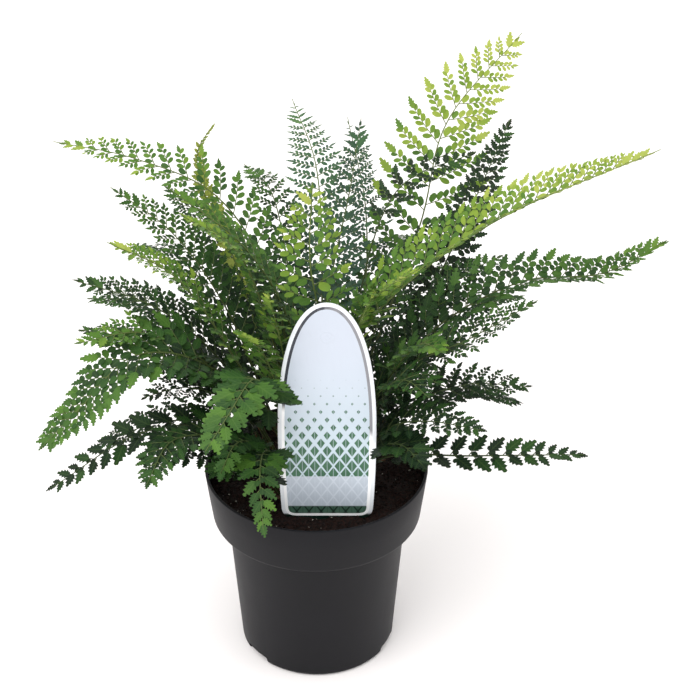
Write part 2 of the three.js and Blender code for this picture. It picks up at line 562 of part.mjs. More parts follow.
function meetsPotOrLabel(point) {
  const radius = Math.hypot(point.x, point.y);
  if (radius < RIM_RADIUS + POT_ROOM && point.z < POT_HEIGHT + POT_ROOM) return true;
  const local = point.clone().sub(LABEL_PLACE).applyAxisAngle(new THREE.Vector3(1, 0, 0), labelLean);
  return Math.abs(local.y) < POT_ROOM && local.z < LABEL_HEIGHT + POT_ROOM
    && Math.abs(local.x) < LABEL_WIDTH / 2 + POT_ROOM;
}

const SAMPLE_STEP = 2;
const SAMPLE_HALF = 0.42;
const SAMPLE_TAPER = 0.8;

function leafletSamples(frame) {
  const samples = [];
  for (let along = SAMPLE_STEP; along <= frame.length; along += SAMPLE_STEP) {
    const half = SAMPLE_HALF * frame.spread * (1 - SAMPLE_TAPER * along / frame.length);
    const rows = Math.max(1, Math.ceil(half / SAMPLE_STEP));
    for (let i = -rows; i <= rows; i += 1) samples.push(leafletPoint(frame, along, half * i / rows));
  }
  return samples;
}

// The ways in which a leaflet is tried: lifted or dropped, then shorter, as crowded ones grow.
const TRIALS = [
  [0, 1], [18, 1], [-18, 1], [36, 1], [-36, 1], [0, 0.75], [24, 0.75], [-24, 0.75],
  [0, 0.5], [30, 0.5], [-30, 0.5],
];
const SHORTEST = 4;

function placeLeaflet(frond, step, hand) {
  const t = step / frond.pairs;
  const full = frond.reach * lengthShare(t);
  for (const [turn, share] of TRIALS) {
    const length = full * share;
    if (length < SHORTEST) break;
    const frame = leafletFrame(frond, step, hand, radians(frond.lift + turn), length);
    const samples = leafletSamples(frame);
    if (!samples.some((point) => meetsPotOrLabel(point) || hasNeighbour(point, frond.name))) {
      samples.forEach((point) => stand(point, frond.name));
      return frame;
    }
  }
  return null;
}

// How a leaflet's edge is cut: the most on the largest leaflets, less on the outer ones, nothing
// on the last small ones and on those with too little room to grow longer than wide.
const LESS_CUT_FROM = 0.26;
const PLAIN_FROM = 0.52;

function cutFor(frond, step, frame) {
  const t = step / frond.pairs;
  if (t > PLAIN_FROM || frame.length < SLIM * frame.spread) return 'plain';
  if (t > LESS_CUT_FROM) return 'ovate';
  return frond.cut;
}

// One frond as a single closed body: a four-sided rib, and on both sides a thin arched blade
// whose outline is cut to the rib between leaflets and notched along each of them.
function frondGeometry(frond) {
  const rows = [
    ...Array.from({ length: STALK_STEPS }, (_, i) => frond.rib(frond.bare * i / STALK_STEPS)),
    ...frond.stations,
  ];
  const points = rows.flatMap((row) => sectionCorners(row));
  const triangles = [0, 2, 1, 0, 3, 2];
  const quad = (a, b, c, d) => triangles.push(a, b, c, a, c, d);

  // Side wall between two rib rows, closed by a leaflet where one stands there.
  const wall = (row, hand, frame, cut) => {
    const top = row * 4 + (hand > 0 ? 0 : 3);
    const bottom = row * 4 + (hand > 0 ? 1 : 2);
    const turn = (a, b, c) => (hand > 0 ? triangles.push(a, b, c) : triangles.push(a, c, b));
    if (!frame) {
      turn(top, bottom, bottom + 4);
      turn(top, bottom + 4, top + 4);
      return;
    }
    const outline = leafletOutline(frame, cut);
    const upper = [top];
    const lower = [bottom];
    outline.forEach((point) => {
      upper.push(points.push(point.clone().addScaledVector(frame.normal, BLADE_HALF)) - 1);
      lower.push(points.push(point.clone().addScaledVector(frame.normal, -BLADE_HALF)) - 1);
    });
    upper.push(top + 4);
    lower.push(bottom + 4);
    leafletTriangles(upper.length).forEach(([a, b, c]) => {
      turn(upper[a], upper[b], upper[c]);
      turn(lower[a], lower[c], lower[b]);
    });
    for (let i = 0; i + 1 < upper.length; i += 1) {
      turn(upper[i], lower[i], lower[i + 1]);
      turn(upper[i], lower[i + 1], upper[i + 1]);
    }
  };

  for (let row = 0; row + 1 < rows.length; row += 1) {
    const base = row * 4;
    quad(base + 3, base, base + 4, base + 7);
    quad(base + 1, base + 2, base + 6, base + 5);
    const step = row - STALK_STEPS;
    [1, -1].forEach((hand) => {
      const frame = step >= 0 ? placeLeaflet(frond, step, hand) : null;
      wall(row, hand, frame, frame && cutFor(frond, step, frame));
    });
  }

  // The end leaflet: the blade's last point beyond the rib's last row.
  const last = (rows.length - 1) * 4;
  const tip = frond.rib(1);
  const upperTip = points.push(tip.place.clone().addScaledVector(tip.face, BLADE_HALF)) - 1;
  const lowerTip = points.push(tip.place.clone().addScaledVector(tip.face, -BLADE_HALF)) - 1;
  triangles.push(last + 3, last, upperTip, last + 1, last + 2, lowerTip);
  quad(last, last + 1, lowerTip, upperTip);
  quad(last + 2, last + 3, upperTip, lowerTip);

  const geometry = new THREE.BufferGeometry();
  geometry.setAttribute('position', new THREE.Float32BufferAttribute(points.flatMap((p) => p.toArray()), 3));
  geometry.setIndex(triangles);
  return closedGeometry(geometry);
}

// Finishes

const finish = (color, roughness) => new THREE.MeshStandardMaterial({ color, roughness, metalness: 0 });
const potPlastic = finish(0x3a3a3c, 0.55);
const peat = finish(0x1d1512, 0.95);
const scalyRoot = finish(0x3a2616, 0.9);
const labelPlastic = finish(0xdfe6ec, 0.3);
const leafGreen = finish(0x2f5f23, 0.6);

// Assembly

const part = new THREE.Group();

function add(name, geometry, material) {
  const mesh = new THREE.Mesh(geometry, material);
  mesh.name = name;
  part.add(mesh);
}

const fronds = FRONDS.map((facts) => {
  const rib = ribOf(facts);
  const stations = Array.from({ length: facts.pairs + 1 }, (_, i) => rib(stationShare(facts, i)));
  return { ...facts, rib, stations };
});

// Every rib stands before the first leaflet looks for room.
const RIB_SAMPLES = 120;
fronds.forEach((frond) => {
  for (let i = 0; i <= RIB_SAMPLES; i += 1) stand(frond.rib(i / RIB_SAMPLES).place, frond.name);
});

add('pot', potGeometry(), potPlastic);
add('soil', soilGeometry(), peat);
add('rootstock', crownGeometry(fronds), scalyRoot);
add('plant_label', closedGeometry(labelGeometry(LABEL_THICKNESS, 0)), labelPlastic);
fronds.forEach((frond) => add(frond.name, frondGeometry(frond), leafGreen));

export default part;
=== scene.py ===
# %% [markdown]
# # A shield fern in its nursery pot
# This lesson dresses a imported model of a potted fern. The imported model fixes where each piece
# is and how large it is. Here each piece gets the surface that the eye expects: leathery
# leaflets on curved ribs, damp peat, a moulded pot and a printed plant label. Everything is in
# metres, with +Z up, and the label's side of the pot faces -Y.

# %% Load the frame
import math
import random

import bmesh
import bpy
import numpy as np
from mathutils import Matrix, Vector, noise


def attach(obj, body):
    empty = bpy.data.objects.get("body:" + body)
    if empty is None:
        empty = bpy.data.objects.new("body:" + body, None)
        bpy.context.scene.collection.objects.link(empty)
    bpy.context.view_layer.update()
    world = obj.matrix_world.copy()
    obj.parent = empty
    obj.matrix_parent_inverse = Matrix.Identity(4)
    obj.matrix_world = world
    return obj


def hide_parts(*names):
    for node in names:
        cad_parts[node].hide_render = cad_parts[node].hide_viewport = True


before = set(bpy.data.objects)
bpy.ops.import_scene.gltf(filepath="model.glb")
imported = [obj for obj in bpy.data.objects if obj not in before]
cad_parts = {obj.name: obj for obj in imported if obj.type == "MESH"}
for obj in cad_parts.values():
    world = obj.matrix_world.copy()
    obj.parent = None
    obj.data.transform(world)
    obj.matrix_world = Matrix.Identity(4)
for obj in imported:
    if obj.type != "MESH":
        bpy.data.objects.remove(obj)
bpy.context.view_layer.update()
MM = 0.001
print("nodes in the frame:", len(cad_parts))

# %% [markdown]
# ## Small tools
# Colours are written as the sRGB hex values that a painter would pick, and one function turns
# them to the linear values that shaders want. One function adds a node with its settings and
# links, for shader trees and Geometry Nodes alike, and it can hand over a whole node where its
# result is meant. Two more start a material and an object.

# %% Colour, node and object helpers
def linear(hex_colour):
    """sRGB hex colour to linear RGBA."""
    parts = [int(hex_colour[i:i + 2], 16) / 255 for i in (1, 3, 5)]
    return (*(p / 12.92 if p <= 0.04045 else ((p + 0.055) / 1.055) ** 2.4 for p in parts), 1.0)


def feed(node, inputs):
    """Sets a node's inputs: to a plain value, or linked to a socket or to a node's result."""
    for key, value in inputs.items():
        if isinstance(value, bpy.types.Node):
            value = next(socket for socket in value.outputs if socket.enabled)
        if isinstance(value, bpy.types.NodeSocket):
            node.id_data.links.new(value, node.inputs[key])
        else:
            node.inputs[key].default_value = value


def add(tree, kind, settings=None, inputs=None):
    """Adds a node with its settings and inputs."""
    node = tree.nodes.new(kind)
    for name, value in (settings or {}).items():
        setattr(node, name, value)
    feed(node, inputs or {})
    return node


def new_material(name):
    """A material, its node tree and its surface shader."""
    material = bpy.data.materials.new(name)
    material.use_nodes = True
    return material, material.node_tree, material.node_tree.nodes["Principled BSDF"]


def new_object(name, mesh):
    obj = bpy.data.objects.new(name, mesh)
    bpy.context.scene.collection.objects.link(obj)
    return obj


def lerp(a, b, t):
    return a + (b - a) * t


def unit(v):
    return v / np.linalg.norm(v)


print("middle grey in linear light:", round(linear("#808080")[0], 3))

# %% [markdown]
# ## Camera
# The photograph looks down on the plant from about a metre away, about 32 degrees below the
# horizon. The camera comes first, because it settles which details will show. The
# focal length is given for a frame whose long side is its height.

# %% Camera at the photograph's angle
CAMERA_PLACE = (12.1 * MM, -800 * MM, 677 * MM)
CAMERA_DOWN_DEG = 31.6
FRAME_HEIGHT_PX = 700
FOCAL_PX = 1817
SENSOR_MM = 36

camera_data = bpy.data.cameras.new("camera")
camera_data.sensor_width = SENSOR_MM
camera_data.lens = FOCAL_PX * SENSOR_MM / FRAME_HEIGHT_PX
camera = bpy.data.objects.new("camera", camera_data)
camera.location = CAMERA_PLACE
camera.rotation_euler = (math.radians(90 - CAMERA_DOWN_DEG), 0, 0)
bpy.context.scene.collection.objects.link(camera)
bpy.context.scene.camera = camera
print("lens:", round(camera_data.lens, 1), "mm")

# %% [markdown]
# ## Floor and light
# The plant stands on a plain white sweep under a large soft box, as in a shop photograph. A
# white world fills the shadows from all sides, and the leaves shade each other, so the middle
# of the plant turns nearly black by itself. One wide area light above and in front gives the
# leaves their direction, and a weaker one at the right keeps the pot's edge readable.

# %% Floor, world and soft boxes
FLOOR_SIZE = 6.0
floor_mesh = bpy.data.meshes.new("floor")
half = FLOOR_SIZE / 2
floor_mesh.from_pydata(
    [(-half, -half, 0), (half, -half, 0), (half, half, 0), (-half, half, 0)], [], [(0, 1, 2, 3)]
)
floor = new_object("floor", floor_mesh)

white_sweep, tree, skin = new_material("white paper sweep")
feed(skin, {"Base Color": linear("#fbf7f6"), "Roughness": 0.9})
floor_mesh.materials.append(white_sweep)

world = bpy.data.worlds.new("white room")
world.use_nodes = True
feed(world.node_tree.nodes["Background"], {"Color": linear("#ffffff"), "Strength": 1.15})
bpy.context.scene.world = world

SOFT_BOXES = {
    "key box": {"place": (-0.8, -0.9, 1.9), "size": 2.0, "watts": 34},
    "fill box": {"place": (1.5, -0.3, 1.0), "size": 0.9, "watts": 3},
}
HEART_OF_PLANT = Vector((0, 0, 0.15))
for box_name, box in SOFT_BOXES.items():
    light = bpy.data.lights.new(box_name, "AREA")
    light.size = box["size"]
    light.energy = box["watts"]
    lamp = bpy.data.objects.new(box_name, light)
    lamp.location = box["place"]
    aim = HEART_OF_PLANT - Vector(box["place"])
    lamp.rotation_euler = aim.to_track_quat("-Z", "Y").to_euler()
    bpy.context.scene.collection.objects.link(lamp)
bpy.context.scene.view_settings.view_transform = "Standard"
print("soft boxes:", len(SOFT_BOXES))

# %% [markdown]
# ## Pot plastic
# The pot is moulded from recycled black plastic. It isn't black to the eye: a fine grain
# scatters the light to a charcoal, and faint clouds show where the plastic flowed. One fine and
# one coarse noise give both, and the grain is raised a little too.

# %% Pot material
COLOURS = {"data_type": "RGBA"}
FIRST, SECOND = 6, 7  # where a Mix node takes its two colours

pot_plastic, tree, skin = new_material("moulded charcoal plastic")
place = add(tree, "ShaderNodeTexCoord").outputs["Object"]
# Grain of about 0.5 mm, and cloudy patches of about 25 mm.
grain = add(tree, "ShaderNodeTexNoise", None, {"Vector": place, "Scale": 2000.0, "Detail": 2.0})
cloud = add(tree, "ShaderNodeTexNoise", None, {"Vector": place, "Scale": 40.0, "Detail": 3.0})
speckle = add(tree, "ShaderNodeMath", {"operation": "MULTIPLY_ADD"}, {0: grain, 1: 0.55, 2: -0.275})
blend = add(tree, "ShaderNodeMath", {"operation": "ADD"}, {0: speckle, 1: cloud})
charcoal = add(tree, "ShaderNodeMix", COLOURS,
               {"Factor": blend, FIRST: linear("#08080c"), SECOND: linear("#151519")})
satin = add(tree, "ShaderNodeMapRange", None, {"Value": cloud, "To Min": 0.42, "To Max": 0.58})
pimples = add(tree, "ShaderNodeBump", None,
              {"Strength": 0.6, "Distance": 0.08 * MM, "Height": grain})
feed(skin, {"Base Color": charcoal, "Roughness": satin, "Normal": pimples,
            "Specular IOR Level": 0.17})
print("nodes in the pot's plastic:", len(tree.nodes))

# %% [markdown]
# ## Pot shape
# The pot is a turned shape: a base with a rounded edge, a body that widens upwards, a small
# fillet under the collar, a rounded collar foot and a thin lip. A profile drawn in millimetres
# and turned about the axis gives all that, and only its arcs need many points.

# %% Pot profile and turning
POT_HEIGHT = 112.5
RIM_RADIUS = 60.0
BASE_RADIUS = 42.5
BODY_TOP_RADIUS = 48.4
COLLAR_FOOT = 83.0
COLLAR_FOOT_RADIUS = 56.4
WALL = 1.6
POT_SEGMENTS = 144


def arc(x, z, radius, start_deg, end_deg, steps):
    """Profile points along an arc about (x, z)."""
    return [(x + radius * math.cos(math.radians(a)), z + radius * math.sin(math.radians(a)))
            for a in np.linspace(start_deg, end_deg, steps)]


def collar_radius(z):
    return lerp(COLLAR_FOOT_RADIUS, RIM_RADIUS, (z - COLLAR_FOOT) / (POT_HEIGHT - COLLAR_FOOT))


def turned_mesh(name, profile, segments):
    """A closed solid of revolution; the profile runs from the axis, out, and back to the axis."""
    verts = []
    rows = []
    for radius, z in profile:
        if radius == 0:
            rows.append([len(verts)] * segments)
            verts.append((0, 0, z * MM))
        else:
            rows.append(list(range(len(verts), len(verts) + segments)))
            for k in range(segments):
                angle = 2 * math.pi * k / segments
                verts.append((radius * MM * math.cos(angle), radius * MM * math.sin(angle), z * MM))
    faces = []
    for low, high in zip(rows, rows[1:]):
        for k in range(segments):
            j = (k + 1) % segments
            corners = [low[k], low[j], high[j], high[k]]
            faces.append(list(dict.fromkeys(corners)))
    mesh = bpy.data.meshes.new(name)
    mesh.from_pydata(verts, [], faces)
    return mesh


pot_profile = [
    (0, 0.6), (33.5, 0.6), (34.2, 0.0),
    *arc(39.5, 3.0, 3.0, -90, 0, 7),
    *arc(50.0, 81.4, 1.6, 180, 90, 5),
    *arc(54.0, 85.6, 2.6, -90, -5, 7),
    (collar_radius(98), 98.0),
    *arc(RIM_RADIUS - 0.68, POT_HEIGHT - 0.6, 0.6, 5, 90, 5),
    *arc(RIM_RADIUS - 1.15, POT_HEIGHT - 0.45, 0.45, 90, 175, 4),
    (collar_radius(96) - WALL, 96.0),
    (COLLAR_FOOT_RADIUS - WALL, 86.1), (53.3, 84.6), (BODY_TOP_RADIUS - WALL, 84.6),
    (BASE_RADIUS - WALL, 3.0), (0, 3.0),
]
pot = new_object("nursery_pot", turned_mesh("nursery_pot", pot_profile, POT_SEGMENTS))
print("points in the pot's profile:", len(pot_profile))

# %% [markdown]
# ## Drain notches
# Three notches at the lower edge let water out, and the mould gives them rounded corners. One
# outline, swept outwards at three bearings, makes a cutter, and a Boolean modifier takes it
# away from the pot. The sharp edges that it leaves are kept sharp by their angle.

# %% Drain notches, cut
NOTCHES = 3
NOTCH_FIRST_DEG = 98
NOTCH_HALF_WIDTH = 8.5
NOTCH_HEIGHT = 4.4
NOTCH_CORNER = 1.7
NOTCH_RADII = (35.5, 50.0)
POT_CREASE_DEG = 38
notch_outline = [
    (-NOTCH_HALF_WIDTH, -3.0), (NOTCH_HALF_WIDTH, -3.0),
    *arc(NOTCH_HALF_WIDTH - NOTCH_CORNER, NOTCH_HEIGHT - NOTCH_CORNER, NOTCH_CORNER, 0, 90, 5),
    *arc(NOTCH_CORNER - NOTCH_HALF_WIDTH, NOTCH_HEIGHT - NOTCH_CORNER, NOTCH_CORNER, 90, 180, 5),
]
cutter_mesh = bpy.data.meshes.new("notches")
cutter_verts = []
cutter_faces = []
for k in range(NOTCHES):
    turn = Matrix.Rotation(math.radians(NOTCH_FIRST_DEG + 360 * k / NOTCHES), 3, "Z")
    first = len(cutter_verts)
    count = len(notch_outline)
    for reach in NOTCH_RADII:
        cutter_verts += [turn @ Vector((reach, across, z)) * MM for across, z in notch_outline]
    cutter_faces.append([first + i for i in range(count)][::-1])
    cutter_faces.append([first + count + i for i in range(count)])
    for i in range(count):
        j = (i + 1) % count
        cutter_faces.append([first + i, first + j, first + count + j, first + count + i])
cutter_mesh.from_pydata(cutter_verts, [], cutter_faces)
cutter = bpy.data.objects.new("notches", cutter_mesh)


def settled(obj):
    """Turns an object's modifiers into its plain mesh."""
    graph = bpy.context.evaluated_depsgraph_get()
    mesh = bpy.data.meshes.new_from_object(obj.evaluated_get(graph))
    mesh.name = obj.name
    obj.modifiers.clear()
    obj.data = mesh
    return obj


def facing_out(mesh):
    """Turns all faces of closed islands outward."""
    shape = bmesh.new()
    shape.from_mesh(mesh)
    bmesh.ops.recalc_face_normals(shape, faces=shape.faces)
    shape.to_mesh(mesh)
    shape.free()


facing_out(cutter_mesh)
facing_out(pot.data)
bpy.context.scene.collection.objects.link(cutter)
cut = pot.modifiers.new("drain notches", "BOOLEAN")
cut.operation = "DIFFERENCE"
cut.solver = "EXACT"
cut.object = cutter
settled(pot)
bpy.data.objects.remove(cutter)
pot.data.shade_smooth()
pot.data.set_sharp_from_angle(angle=math.radians(POT_CREASE_DEG))
pot.data.materials.clear()
pot.data.materials.append(pot_plastic)
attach(pot, "root")
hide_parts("pot")
print("pot faces:", len(pot.data.polygons))

# %% [markdown]
# ## Damp peat
# Potting soil is nearly black when damp, with red-brown fibres. Loose crumbs catch the light,
# and a few white grains of perlite show among them.

# %% Soil materials
peat, tree, skin = new_material("damp peat")
place = add(tree, "ShaderNodeTexCoord").outputs["Object"]
# Crumbs of about 1.5 mm, some of them redder.
crumbs = add(tree, "ShaderNodeTexNoise", None, {"Vector": place, "Scale": 650.0, "Detail": 4.0})
earth = add(tree, "ShaderNodeValToRGB", None, {"Fac": crumbs})
for stop, position, colour in zip(earth.color_ramp.elements, (0.35, 0.72), ("#0b0706", "#28150f")):
    stop.position = position
    stop.color = linear(colour)
rough = add(tree, "ShaderNodeBump", None,
            {"Strength": 0.9, "Distance": 0.5 * MM, "Height": crumbs})
feed(skin, {"Base Color": earth, "Roughness": 0.86, "Specular IOR Level": 0.2, "Normal": rough})

perlite, tree, skin = new_material("perlite grain")
place = add(tree, "ShaderNodeTexCoord").outputs["Object"]
pores = add(tree, "ShaderNodeTexNoise", None, {"Vector": place, "Scale": 1800.0})
white = add(tree, "ShaderNodeMix", COLOURS,
            {"Factor": pores, FIRST: linear("#6f6a62"), SECOND: linear("#aba79e")})
feed(skin, {"Base Color": white, "Roughness": 0.9})
print("materials so far:", len(bpy.data.materials))

# %% [markdown]
# ## A tree that scatters small things
# Crumbs on soil and papery scales on the rootstock follow the same rule: small shapes stand
# on a surface, each turned, tipped and sized at random. So one Geometry Nodes tree serves
# both. Its seed is fixed, and a number on the ground's faces says where it may scatter.

# %% Start a tree, and grow an object with it
def new_tree(name, inputs, output):
    """A Geometry Nodes tree, the sockets of its named inputs, and their identifiers."""
    tree = bpy.data.node_groups.new(name, "GeometryNodeTree")
    identifiers = {}
    for socket_name, (kind, default) in inputs.items():
        socket = tree.interface.new_socket(socket_name, in_out="INPUT", socket_type=kind)
        if default is not None:
            socket.default_value = default
        identifiers[socket_name] = socket.identifier
    tree.interface.new_socket(output, in_out="OUTPUT", socket_type="NodeSocketGeometry")
    return tree, add(tree, "NodeGroupInput").outputs, identifiers


def grown(obj, tree, identifiers, values):
    """Runs a Geometry Nodes tree on an object and keeps the result as its plain mesh."""
    modifier = obj.modifiers.new("grow", "NODES")
    modifier.node_group = tree
    for name, value in values.items():
        modifier[identifiers[name]] = value
    return settled(obj)


print("trees before the first:", len(bpy.data.node_groups))

# %% Geometry Nodes tree for scattering
scatter_tree, given, scatter_sockets = new_tree("scatter", {
    "Ground": ("NodeSocketGeometry", None),
    "Shapes": ("NodeSocketCollection", None),
    "Per square metre": ("NodeSocketFloat", 100000.0),
    "Least size": ("NodeSocketFloat", 0.8 * MM),
    "Largest size": ("NodeSocketFloat", 2.4 * MM),
    "Tip at random": ("NodeSocketFloat", math.pi),
    "Seed": ("NodeSocketInt", 1),
    "Finish": ("NodeSocketMaterial", None),
}, "Covered")
open_ground = add(scatter_tree, "GeometryNodeInputNamedAttribute", {"data_type": "FLOAT"},
                  {"Name": "open"})
spread = add(scatter_tree, "ShaderNodeMath", {"operation": "MULTIPLY"},
             {0: open_ground, 1: given["Per square metre"]})
spots = add(scatter_tree, "GeometryNodeDistributePointsOnFaces", {"distribute_method": "RANDOM"},
            {"Mesh": given["Ground"], "Density": spread, "Seed": given["Seed"]})
least = add(scatter_tree, "ShaderNodeMath", {"operation": "MULTIPLY"},
            {0: given["Tip at random"], 1: -1.0})
tip = add(scatter_tree, "FunctionNodeRandomValue", {"data_type": "FLOAT_VECTOR"},
          {0: least, 1: given["Tip at random"], "Seed": given["Seed"]})
tip = add(scatter_tree, "FunctionNodeEulerToRotation", None, {0: tip})
pose = add(scatter_tree, "FunctionNodeRotateRotation", {"rotation_space": "LOCAL"},
           {0: spots.outputs["Rotation"], 1: tip})
sized = add(scatter_tree, "FunctionNodeRandomValue", {"data_type": "FLOAT"},
            {2: given["Least size"], 3: given["Largest size"], "Seed": given["Seed"]})
shapes = add(scatter_tree, "GeometryNodeCollectionInfo", None,
             {"Collection": given["Shapes"], "Separate Children": True, "Reset Children": True})
small = add(scatter_tree, "GeometryNodeInstanceOnPoints", None,
            {"Points": spots, "Instance": shapes, "Pick Instance": True, "Rotation": pose,
             "Scale": sized})
small = add(scatter_tree, "GeometryNodeRealizeInstances", None, {0: small})
small = add(scatter_tree, "GeometryNodeSetMaterial", None,
            {"Geometry": small, "Material": given["Finish"]})
whole = add(scatter_tree, "GeometryNodeJoinGeometry", None, {0: small})
feed(whole, {0: given["Ground"]})
add(scatter_tree, "NodeGroupOutput", None, {0: whole})
print("nodes in the scatter tree:", len(scatter_tree.nodes))

# %% [markdown]
# ## Crumbs
# A crumb is a ball with 20 faces, squeezed out of shape by its own random numbers. A handful
# of different ones is enough, because each is turned another way.

# %% Crumb shapes
CRUMB_SHAPES = 6
crumb_shapes = bpy.data.collections.new("crumbs")
dice = random.Random(4)
for k in range(CRUMB_SHAPES):
    ball = bmesh.new()
    bmesh.ops.create_icosphere(ball, subdivisions=1, radius=0.5)
    for vert in ball.verts:
        vert.co *= dice.uniform(0.7, 1.15)
    stretch = Vector((dice.uniform(0.8, 1.3), dice.uniform(0.7, 1.0), dice.uniform(0.6, 0.9)))
    bmesh.ops.scale(ball, vec=stretch, verts=ball.verts)
    crumb_mesh = bpy.data.meshes.new(f"crumb_{k}")
    ball.to_mesh(crumb_mesh)
    ball.free()
    crumb_shapes.objects.link(bpy.data.objects.new(f"crumb_{k}", crumb_mesh))

# %% [markdown]
# ## Soil body
# The soil fills the pot. Its top is uneven: a slow swell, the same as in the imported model, and
# a finer roughness from a noise. The middle is a plain recess for the rootstock.

# %% Soil surface with crumbs
GAP = 0.3
SOIL_LEVEL = 103.0
CROWN_RADIUS = 27.0
CROWN_DEPTH = 12.0
SOIL_RINGS = 26
SOIL_SEGMENTS = 120


def soil_height(x, y):
    """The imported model's slow swell, with a finer roughness on it, in millimetres."""
    swell = 0.9 * math.sin(x * 0.23 + 1.1) * math.cos(y * 0.27 - 0.4)
    rough = noise.fractal(Vector((x, y, 0)) * 0.33, 0.8, 2.0, 3)
    return SOIL_LEVEL - 0.3 + swell + 0.7 * rough


soil_edge = collar_radius(SOIL_LEVEL) - WALL - GAP
soil_profile = [
    (0, 3.3), (38.5, 3.3), (46.4, 84.9), (53.0, 84.9), (54.4, 86.4), (soil_edge - 0.2, 101.0),
    *[(r, SOIL_LEVEL) for r in np.linspace(soil_edge - 0.1, CROWN_RADIUS + GAP, SOIL_RINGS)],
    (CROWN_RADIUS + GAP, SOIL_LEVEL - CROWN_DEPTH), (0, SOIL_LEVEL - CROWN_DEPTH),
]
soil_mesh = turned_mesh("potting soil", soil_profile, SOIL_SEGMENTS)
for vert in soil_mesh.vertices:
    if vert.co.z > (SOIL_LEVEL - 0.5) * MM:
        vert.co.z = soil_height(vert.co.x / MM, vert.co.y / MM) * MM
facing_out(soil_mesh)
soil_mesh.shade_smooth()
soil_mesh.materials.append(peat)
open_faces = soil_mesh.attributes.new("open", "FLOAT", "FACE")
open_faces.data.foreach_set("value", [
    float(p.normal.z > 0.4 and p.center.z > (SOIL_LEVEL - 3) * MM) for p in soil_mesh.polygons
])
soil = new_object("potting_soil", soil_mesh)
grown(soil, scatter_tree, scatter_sockets, {
    "Shapes": crumb_shapes, "Per square metre": 260000.0, "Least size": 0.7 * MM,
    "Largest size": 2.6 * MM, "Seed": 7, "Finish": peat,
})
grown(soil, scatter_tree, scatter_sockets, {
    "Shapes": crumb_shapes, "Per square metre": 5000.0, "Least size": 0.6 * MM,
    "Largest size": 1.5 * MM, "Seed": 19, "Finish": perlite,
})
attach(soil, "root")
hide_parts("soil")
print("soil faces:", len(soil.data.polygons))

# %% [markdown]
# ## Rootstock
# All stalks rise from a short crown that is wrapped in papery brown scales. A plain dome
# carries the form, and the scatter tree lays the scales on it.

# %% Papery material
papery, tree, skin = new_material("papery brown scales")
place = add(tree, "ShaderNodeTexCoord").outputs["Object"]
# Fibres of about 2.5 mm, from dark to rust.
fibre = add(tree, "ShaderNodeTexNoise", None, {"Vector": place, "Scale": 420.0, "Detail": 3.0})
rust = add(tree, "ShaderNodeMix", COLOURS,
           {"Factor": fibre, FIRST: linear("#1c110a"), SECOND: linear("#553520")})
feed(skin, {"Base Color": rust, "Roughness": 0.8})
print("nodes in the papery scales:", len(tree.nodes))

# %% Scale shapes
SCALE_SHAPES = 3
SCALE_OUTLINE = [(0.0, 0.10), (0.35, 0.14), (0.7, 0.08)]  # height up the scale, half width
scale_shapes = bpy.data.collections.new("chaffy scales")
for k in range(SCALE_SHAPES):
    bend = 0.15 + 0.12 * k
    verts = []
    for z, wide in SCALE_OUTLINE:
        verts += [(-wide, bend * z * z, z), (0, bend * z * z + 0.05, z), (wide, bend * z * z, z),
                  (0, bend * z * z - 0.03, z)]
    verts.append((0, bend, 1.0))
    faces = [(3, 2, 1, 0)]
    for row in (0, 4):
        faces += [(row + i, row + (i + 1) % 4, row + 4 + (i + 1) % 4, row + 4 + i) for i in range(4)]
    faces += [(8 + i, 8 + (i + 1) % 4, 12) for i in range(4)]
    scale_mesh = bpy.data.meshes.new(f"scale_{k}")
    scale_mesh.from_pydata(verts, [], faces)
    facing_out(scale_mesh)
    scale_shapes.objects.link(bpy.data.objects.new(f"scale_{k}", scale_mesh))

# %% Rootstock dome with its scales
DOME_FOOT = 104.0
DOME_RISE = 9.0
DOME_SUNK = 0.6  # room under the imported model's top for the scales
dome_profile = [(0, 91.3), (CROWN_RADIUS, 91.3)]
for share in np.linspace(1, 0.08, 12):
    dome_profile.append((CROWN_RADIUS * share, DOME_FOOT + DOME_RISE * (1 - share * share) - DOME_SUNK))
dome_profile.append((0, DOME_FOOT + DOME_RISE - DOME_SUNK))
dome_mesh = turned_mesh("rootstock", dome_profile, 72)
for vert in dome_mesh.vertices:
    if vert.co.z > DOME_FOOT * MM:
        bump = noise.fractal(vert.co / MM * 0.22, 0.8, 2.0, 3)
        vert.co.z += min(0.6, bump) * MM
facing_out(dome_mesh)
dome_mesh.shade_smooth()
dome_mesh.materials.append(papery)
open_faces = dome_mesh.attributes.new("open", "FLOAT", "FACE")
open_faces.data.foreach_set("value", [float(p.normal.z > 0.3) for p in dome_mesh.polygons])
rootstock = new_object("rootstock_scales", dome_mesh)
grown(rootstock, scatter_tree, scatter_sockets, {
    "Shapes": scale_shapes, "Per square metre": 420000.0, "Least size": 3.0 * MM,
    "Largest size": 6.5 * MM, "Tip at random": math.radians(55), "Seed": 3, "Finish": papery,
})
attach(rootstock, "root")
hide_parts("rootstock")
print("rootstock faces:", len(rootstock.data.polygons))

# %% [markdown]
# ## Printed label plastic
# The label is a glossy printed plate: a white edge, a silver line that runs round the head with
# painted reflections and is turned white down both sides by a painted highlight, and a pale field.
# The field carries a plain lattice of green lozenges that grow towards the foot, a frosted band
# and a dark strip at the soil. It holds no letters.
# The mesh carries a number called band: 0 for the edge, 1 for the line and 2 for the field.
# Its UV map runs from 0 to 1 across the plate's width and height, and is scaled to millimetres.

# %% Places on the label, in millimetres
LABEL_WIDTH = 50.5
LABEL_FOOT_WIDTH = 48.0
LABEL_HEIGHT = 126.0
SMOOTH = {"interpolation_type": "SMOOTHSTEP"}

